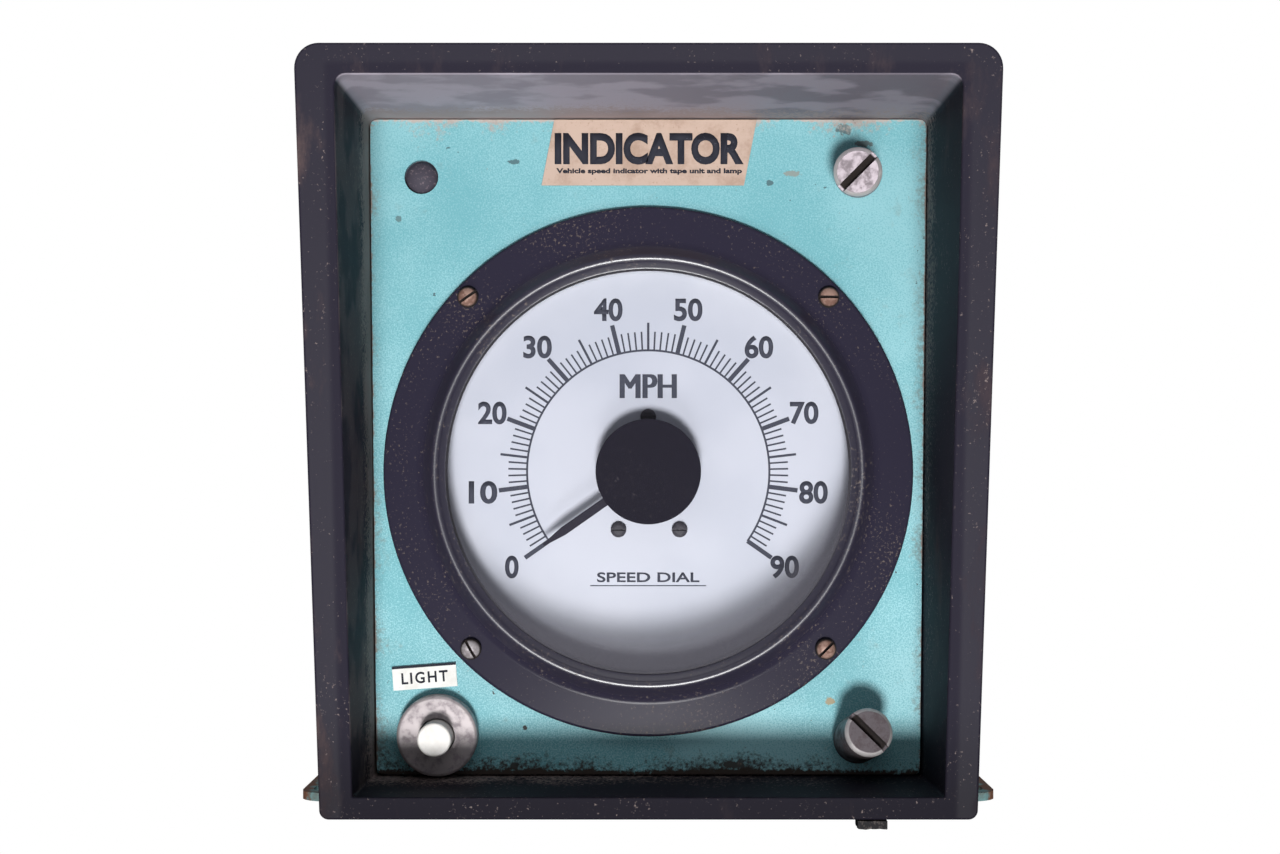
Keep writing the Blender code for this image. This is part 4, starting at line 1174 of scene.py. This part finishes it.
@dataclass
class DialMeter:
    """The round meter: bezel, glass, dial with its scale, pointer and movement. Sizes in millimetres."""

    nodes: dict[str, bpy.types.Object]
    facets: int = 192
    sweep: float = 250.0
    top_speed: int = 90
    scale_radius: float = 35.5
    numeral_radius: float = 48.8
    slots: tuple[float, ...] = (35.0, 0.0, -60.0, 45.0)

    def __post_init__(self) -> None:
        """Finds the dial's centre on the panel's front face."""
        self.centre = centre_of("bezel_ring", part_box("front_panel")[0].y)
        self.print_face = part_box("dial_plate")[0].y

    def build(self) -> None:
        """Builds the meter from the front to the back."""
        self.bezel()
        self.bezel_screws()
        self.glass_and_cover()
        self.dial()
        self.scale()
        self.numerals()
        self.pointer()
        for name, finish in (
            ("meter_can", ZINC),
            ("movement_yoke", DULL_STEEL),
            ("movement_bridge", ALUMINIUM),
            ("moving_coil", COPPER),
            ("lamp_left", BRASS),
            ("lamp_right", BRASS),
        ):
            dress_node(self.nodes, name, finish)

    def bezel(self) -> None:
        """The spun flange with its raised bead."""
        turns = [math.radians(degrees) for degrees in range(30, 151, 15)]
        bead = [(61.2 + 1.6 * math.cos(turn), -4.9 - 1.6 * math.sin(turn)) for turn in turns]
        rim = [(76.2, -0.3), (76.2, -2.2), (75.9, -2.7), (75.3, -2.9)]
        flange = [*rim, (67.0, -3.0), (65.4, -3.3), (64.2, -4.0)]
        lip = [(58.6, -5.0), (58.2, -4.9), (58.2, -4.6), (60.9, -4.6), (60.9, -0.3)]
        piece = lathe("bezel_spinning", [*flange, *bead, *lip], self.facets, self.centre, hollow=True)
        settle(soften(piece, 0.0, angle=50), BEZEL_ENAMEL, "chassis", ["bezel_ring"])

    def bezel_screws(self) -> None:
        """Four fillister-head screws, each with its slot as it was left. Only the third hasn't rusted."""
        seat = -3.3
        dome = [(0.6, -2.5), (1.6, -2.35), (2.4, -2.0), (2.9, -1.5), (3.0, -1.2), (3.0, 0.0), (1.5, 0.0)]
        stations = [*((radius, seat + rise) for radius, rise in dome), (1.5, 4.0)]
        for number, slot in enumerate(self.slots, start=1):
            at = centre_of(f"bezel_screw_{number}", self.centre.y)
            piece = lathe(f"bezel_screw_head_{number}", stations, 48, at)
            bar = block("bar", at + Vector((-4, seat - 4, -0.4)) * MM, at + Vector((4, seat - 1, 0.4)) * MM)
            carve(piece, turn_about(bar, at, Quaternion(DIAL_AXIS, -math.radians(slot))))
            bare = number == 3
            colour, tarnish, metallic = ("#b4aeb0", "#8f888a", 0.5) if bare else ("#a58679", "#7a5a4e", 0.3)
            finish = SlottedSteel(
                f"bezel_screw_steel_{number}", colour, 0.5, metallic, tarnish=tarnish, share=0.5,
                at=tuple(at), face=seat - 2.5, foot=seat + 3.0, edge_radius=3.4,
            )
            settle(soften(piece, 0.1, 2), finish, "chassis", [f"bezel_screw_{number}"])

    def glass_and_cover(self) -> None:
        """The flat glass and the round cover behind it that hides the pointer's hub."""
        glass = lathe("dial_glass_disc", [(60.5, -4.3), (60.5, -1.8)], self.facets, self.centre)
        settle(soften(glass, 0.0), GLASS, "chassis", ["dial_glass"])
        cover = lathe("hub_cover_disc", [(15.2, -1.5), (15.2, -0.7)], 96, self.centre)
        settle(soften(cover, 0.15, 2), HUB_PLASTIC, "chassis", ["hub_cover"])

    def dial(self) -> None:
        """The dial plate, with its hole for the shaft, and its three screws."""
        depth = (self.print_face - self.centre.y) / MM
        stations = [(3.0, depth), (58.8, depth), (58.8, depth + 1.0), (3.0, depth + 1.0)]
        plate = lathe("dial_face", stations, self.facets, self.centre, hollow=True)
        settle(soften(plate, 0.1, 2), ACRYLIC, "chassis", ["dial_plate"])
        head = [(1.2, -1.6), (1.9, -1.3), (2.3, -0.8), (2.3, -0.3), (1.0, -0.3), (1.0, 4.0)]
        stations = [(radius, depth + rise) for radius, rise in head]
        low, high = Vector((-3, depth - 2, -0.3)), Vector((3, depth - 0.8, 0.3))
        for number in (1, 2, 3):
            at = centre_of(f"dial_screw_{number}", self.centre.y)
            piece = lathe(f"dial_screw_head_{number}", stations, 32, at)
            bar = block("bar", at + low * MM, at + high * MM)
            soften(carve(piece, bar), 0.0)
            settle(piece, DIAL_SCREW, "chassis", [f"dial_screw_{number}"])

    def scale(self) -> None:
        """Tick marks, each length spun round the dial from one mark, and the thin arc they stand on."""
        start = Quaternion(DIAL_AXIS, -math.radians(self.sweep / 2))
        marks = []
        foot = self.centre.z + self.scale_radius * MM
        # Each longer mark lies over a shorter one, so it stands a hundredth of a millimetre higher.
        for every, length, width, lift in ((1, 5.5, 0.5, 0.04), (5, 8.1, 0.7, 0.05), (10, 8.6, 1.3, 0.06)):
            mark = block("mark", (-width / 2 * MM, self.print_face - lift * MM, foot),
                         (width / 2 * MM, self.print_face, foot + length * MM))
            turn_about(mark, self.centre, start)
            pick(mark, Part.FACE, lambda place, normal: True)
            bpy.ops.mesh.spin(dupli=True, steps=self.top_speed // every, angle=-math.radians(self.sweep),
                              center=self.centre, axis=DIAL_AXIS)
            clear_selection()
            marks.append(mark)
        inner = self.centre.z + (self.scale_radius - 0.3) * MM
        arc = block("arc", (-0.05 * MM, self.print_face - 0.03 * MM, inner),
                    (0.05 * MM, self.print_face, inner + 0.6 * MM))
        turn_about(arc, self.centre, start)
        onward = start @ Vector((1, 0, 0))
        pick(arc, Part.FACE, lambda place, normal: normal.dot(onward) > 0.9)
        bpy.ops.mesh.spin(steps=150, angle=-math.radians(self.sweep), center=self.centre, axis=DIAL_AXIS)
        clear_selection()
        settle(join("dial_scale", [*marks, arc]), DIAL_INK, "chassis")

    def numerals(self) -> None:
        """The numerals every 10, the unit, and a plain mark with a line below the hub."""
        words = []
        for value in range(0, self.top_speed + 1, 10):
            turn = math.radians(self.sweep * (value / self.top_speed - 0.5))
            at = self.centre + Vector((math.sin(turn), 0, math.cos(turn))) * self.numeral_radius * MM
            at.y = self.print_face
            words.append(lettering(str(value), 6.7, 8.4 if value else 4.0, at, 0.03))
        middle = Vector((self.centre.x, self.print_face, self.centre.z))
        # The unit's strokes are heavier than the font's, so it is set three times, side by side.
        for step in (-0.35, 0.0, 0.35):
            words.append(lettering("MPH", 7.0, 16.1, middle + Vector((step, step * 0.05, 25)) * MM, 0.0))
        words.append(lettering("SPEED DIAL", 2.9, 30.0, middle + Vector((0, 0, -31)) * MM, 0.02))
        line = block("line", middle + Vector((-17, -0.05, -33.6)) * MM, middle + Vector((17, 0, -33.3)) * MM)
        settle(join("dial_numerals", [*words, line]), DIAL_INK, "chassis")

    def pointer(self) -> None:
        """The pointer: a straight bar that narrows to its tip, on a round hub."""
        low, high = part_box("pointer")
        root, shoulder = self.centre.z + 5 * MM, self.centre.z + 30 * MM
        needle = block("needle", (-1.25 * MM, low.y, root), (1.25 * MM, high.y, shoulder))
        pick(needle, Part.FACE, lambda place, normal: normal.z > 0.9)
        bpy.ops.mesh.extrude_region_move(TRANSFORM_OT_translate={"value": (0, 0, 7 * MM)})
        bpy.ops.transform.resize(value=(0.28, 1, 1))
        clear_selection()
        turn = Quaternion(DIAL_AXIS, -math.radians(self.sweep / 2))
        hub = lathe("hub", [(8.0, (face - self.centre.y) / MM) for face in (low.y, high.y)], 64, self.centre)
        piece = join("pointer_needle", [turn_about(needle, self.centre, turn), hub])
        settle(soften(piece, 0.08, 2), POINTER_ENAMEL, "pointer", ["pointer"])


# ------------------------------------------------------------------ switch and captive screws


@dataclass
class LightSwitch:
    """The push button and its round metal bezel. Sizes in millimetres."""

    nodes: dict[str, bpy.types.Object]

    def build(self) -> None:
        """Builds the bezel and the button, and dresses the body behind the panel."""
        at = centre_of("switch_bezel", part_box("front_panel")[0].y)
        rim = [(11.6, -0.3), (11.6, -5.0), (11.45, -5.5), (11.1, -5.8), (10.6, -6.0)]
        ring = lathe("switch_bezel_ring", [(5.2, -0.3), *rim, (5.2, -6.0)], 128, at, hollow=True)
        settle(soften(ring, 0.0, angle=25), SWITCH_STEEL, "chassis", ["switch_bezel"])
        edge = [(3.9, -14.1), (4.2, -14.15), (4.45, -14.1), (4.7, -13.9), (4.8, -13.6)]
        button = soften(lathe("light_button_cap", [*edge, (4.8, 2.0)], 96, at), 0.0, angle=60)
        settle(button, WHITE_PLASTIC, "light_button", ["switch_button"])
        dress_node(self.nodes, "switch_body", BLACK_ABS)


@dataclass
class CaptiveScrew:
    """A slotted knob screw that leans in its hole, and its ring. Sizes in millimetres and degrees."""

    nodes: dict[str, bpy.types.Object]
    which: str
    joint: dict[str, Any]
    drawn: float
    ring_back: float
    slot: float
    colour: str
    roughness: float
    tarnish: str
    knob_length: float = 17.0

    def build(self) -> None:
        """Turns the screw about its own axis, cuts its slot, and dresses its ring."""
        inward = -Vector(self.joint["axis"]).normalized()
        at = Vector(self.joint["pos_m"])
        foot, groove = -self.drawn, self.ring_back
        face = foot - self.knob_length
        knob = [(5.8, face), (6.75, face + 0.95), (6.85, face + 1.2), (6.85, foot - 0.3), (6.6, foot)]
        shank = [(2.45, foot), (2.45, groove - 0.3), (1.95, groove - 0.3), (1.95, groove + 1.5)]
        stations = [*knob, *shank, (2.45, groove + 1.5), (2.45, 9.6), (1.9, 10.2)]
        piece = lathe(f"{self.which}_knob_screw", stations, 128, at, along=inward)
        bar = block("bar", at + Vector((-9, face - 2, -1.1)) * MM, at + Vector((9, face + 2.5, 1.1)) * MM)
        turn_about(bar, at, Quaternion(DIAL_AXIS, -math.radians(self.slot)))
        turn_about(bar, at, Vector(DIAL_AXIS).rotation_difference(inward))
        soften(carve(piece, bar), 0.12, 2)
        finish = SlottedSteel(
            f"{self.which}_knob_steel", self.colour, self.roughness, 0.6, tarnish=self.tarnish, share=0.4,
            axis=tuple(inward), at=tuple(at), face=face, foot=foot, edge_radius=5.95,
        )
        settle(piece, finish, f"{self.which}_screw", [f"{self.which}_captive_screw"])
        dress_node(self.nodes, f"{self.which}_retaining_ring", ZINC)


# ------------------------------------------------------------------ case, base and tape deck


@dataclass
class CaseAndBase:
    """The sheet-steel case, its cover and connector, and the slotted base plate."""

    nodes: dict[str, bpy.types.Object]

    def build(self) -> None:
        """Dresses the case's parts."""
        for name in ("case_shell", "rear_cover"):
            dress_node(self.nodes, name, CASE_ENAMEL)
        dress_node(self.nodes, "base_plate", BASE_ENAMEL)
        rails_and_nuts = ("guide_rail_left", "guide_rail_right", "panel_nut_upper", "panel_nut_lower")
        screws = (f"rear_cover_screw_{number}" for number in range(1, 5))
        for name in (*rails_and_nuts, "rear_connector", *screws):
            dress_node(self.nodes, name, ZINC)
        dress_node(self.nodes, "backplane_socket", BLACK_ABS)


@dataclass
class TapeDeck:
    """The draw-out chassis behind the panel, with the tape deck and its cartridge."""

    nodes: dict[str, bpy.types.Object]

    def build(self) -> None:
        """Dresses the chassis and the deck."""
        for name, finish in (
            ("chassis_tray", ZINC), ("deck_plate", ALUMINIUM), ("drive_motor", ZINC), ("drive_belt", RUBBER),
            ("record_head", BRIGHT_STEEL), ("circuit_board", LAMINATE), ("backplane_plug", BLACK_ABS),
            ("flywheel", BRASS), ("motor_pulley", BRASS), ("supply_spindle", WHITE_PLASTIC),
            ("takeup_spindle", WHITE_PLASTIC), ("pinch_arm", ZINC), ("pinch_roller", RUBBER),
            ("cartridge_shell", BLACK_ABS), ("supply_reel", TAPE), ("takeup_reel", TAPE),
        ):
            dress_node(self.nodes, name, finish)


# ------------------------------------------------------------------ stage


@dataclass
class Stage:
    """Floor, light and camera. The camera stands level in front of the dial. Sizes in metres."""

    distance: float = 0.62
    height: float = 0.0984
    across: float = -0.00095
    lens: float = 60.41
    shift: tuple[float, float] = (-0.0039, 0.0297)

    def build(self) -> None:
        """Sets the floor, the lights, the surroundings and the camera."""
        self.floor()
        self.lights()
        self.surroundings()
        self.camera()

    def floor(self) -> None:
        """A large pale floor that the low light passes through from below, as it casts no shadow."""
        clear_selection()
        bpy.ops.mesh.primitive_plane_add(size=40.0, location=(0, 0, -0.0002))
        floor = bpy.context.object
        floor.name = "floor"
        paint = bpy.data.materials.new("pale_floor")
        paint.use_nodes = True
        tree = paint.node_tree
        shader = tree.nodes["Principled BSDF"]
        fill(shader, {"Base Color": (0.45, 0.45, 0.45, 1), "Roughness": 0.9, "Specular IOR Level": 0.1})
        self.white_to_the_eye(tree, shader, "Emission", "Material Output")
        floor.data.materials.append(paint)
        floor.visible_shadow = False

    def white_to_the_eye(self, tree: bpy.types.NodeTree, lit: bpy.types.Node, glow: str, output: str) -> None:
        """Shows plain white to the camera, and the lit node to every other ray.

        Args:
            tree: The node tree.
            lit: What lights and reflections see.
            glow: The kind of node that gives the white.
            output: The name of the tree's output node.
        """
        white = add_node(tree, glow, Color=(1, 1, 1, 1), Strength=1.0)
        seen = add_node(tree, "LightPath").outputs["Is Camera Ray"]
        fill(tree.nodes[output], {"Surface": add_node(tree, "MixShader", seen, lit, white)})

    def lights(self) -> None:
        """A key light that rises from the front, a weaker steeper one, and a broad soft light from above."""
        self.sun("key_light", Vector((0.0, 1.0, 0.335)), 3.0, 11.0)
        self.sun("low_light", Vector((0.03, 1.0, 0.95)), 0.6, 16.0)
        self.sun("top_light", Vector((0.0, 0.12, -1.0)), 0.9, 70.0)

    def sun(self, name: str, way: Vector, strength: float, angle: float) -> None:
        """Adds a distant light.

        Args:
            name: The light's name.
            way: The direction its light travels.
            strength: Its strength, in watts per square metre.
            angle: How wide it looks, in degrees, which softens its shadows.
        """
        data = bpy.data.lights.new(name, "SUN")
        data.energy = strength
        data.angle = math.radians(angle)
        light = bpy.data.objects.new(name, data)
        light.rotation_mode = "QUATERNION"
        light.rotation_quaternion = way.to_track_quat("-Z", "Y")
        bpy.context.scene.collection.objects.link(light)

    def surroundings(self) -> None:
        """Dim surroundings that look white behind the object."""
        world = bpy.data.worlds.new("surroundings")
        bpy.context.scene.world = world
        world.use_nodes = True
        tree = world.node_tree
        dim = tree.nodes["Background"]
        fill(dim, {"Color": (0.9, 0.93, 1.0, 1), "Strength": 0.24})
        self.white_to_the_eye(tree, dim, "Background", "World Output")
        bpy.context.scene.view_settings.view_transform = "Standard"

    def camera(self) -> None:
        """A level camera at the dial's height."""
        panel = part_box("front_panel")[0].y
        data = bpy.data.cameras.new("camera")
        data.lens = self.lens
        data.sensor_width = 36.0
        data.shift_x, data.shift_y = self.shift
        camera = bpy.data.objects.new("camera", data)
        camera.location = (self.across, panel - self.distance, self.height)
        camera.rotation_euler = (math.pi / 2, 0, 0)
        bpy.context.scene.collection.objects.link(camera)
        bpy.context.scene.camera = camera


def main() -> None:
    """Loads the frame, builds every sub-assembly, and logs each piece's face count as it is made."""
    logging.basicConfig(level=logging.INFO, format="%(name)s: %(message)s")
    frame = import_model()
    nodes = frame["nodes"]
    joints = {joint["name"]: joint for joint in frame["joints"]}
    Stage().build()
    GlareHood().build()
    FrontPanel(nodes).build()
    DialMeter(nodes).build()
    LightSwitch(nodes).build()
    for which, drawn, ring_back, slot, colour, roughness, tarnish in (
        ("upper", 1.4, 6.5, 45.0, "#a2989e", 0.5, "#92888d"),
        ("lower", 3.2, 4.6, -45.0, "#7a7276", 0.45, "#655b5e"),
    ):
        joint = joints[f"{which}_screw_turn"]
        CaptiveScrew(nodes, which, joint, drawn, ring_back, slot, colour, roughness, tarnish).build()
    CaseAndBase(nodes).build()
    TapeDeck(nodes).build()
    clear_selection()


if __name__ == "__main__":
    main()
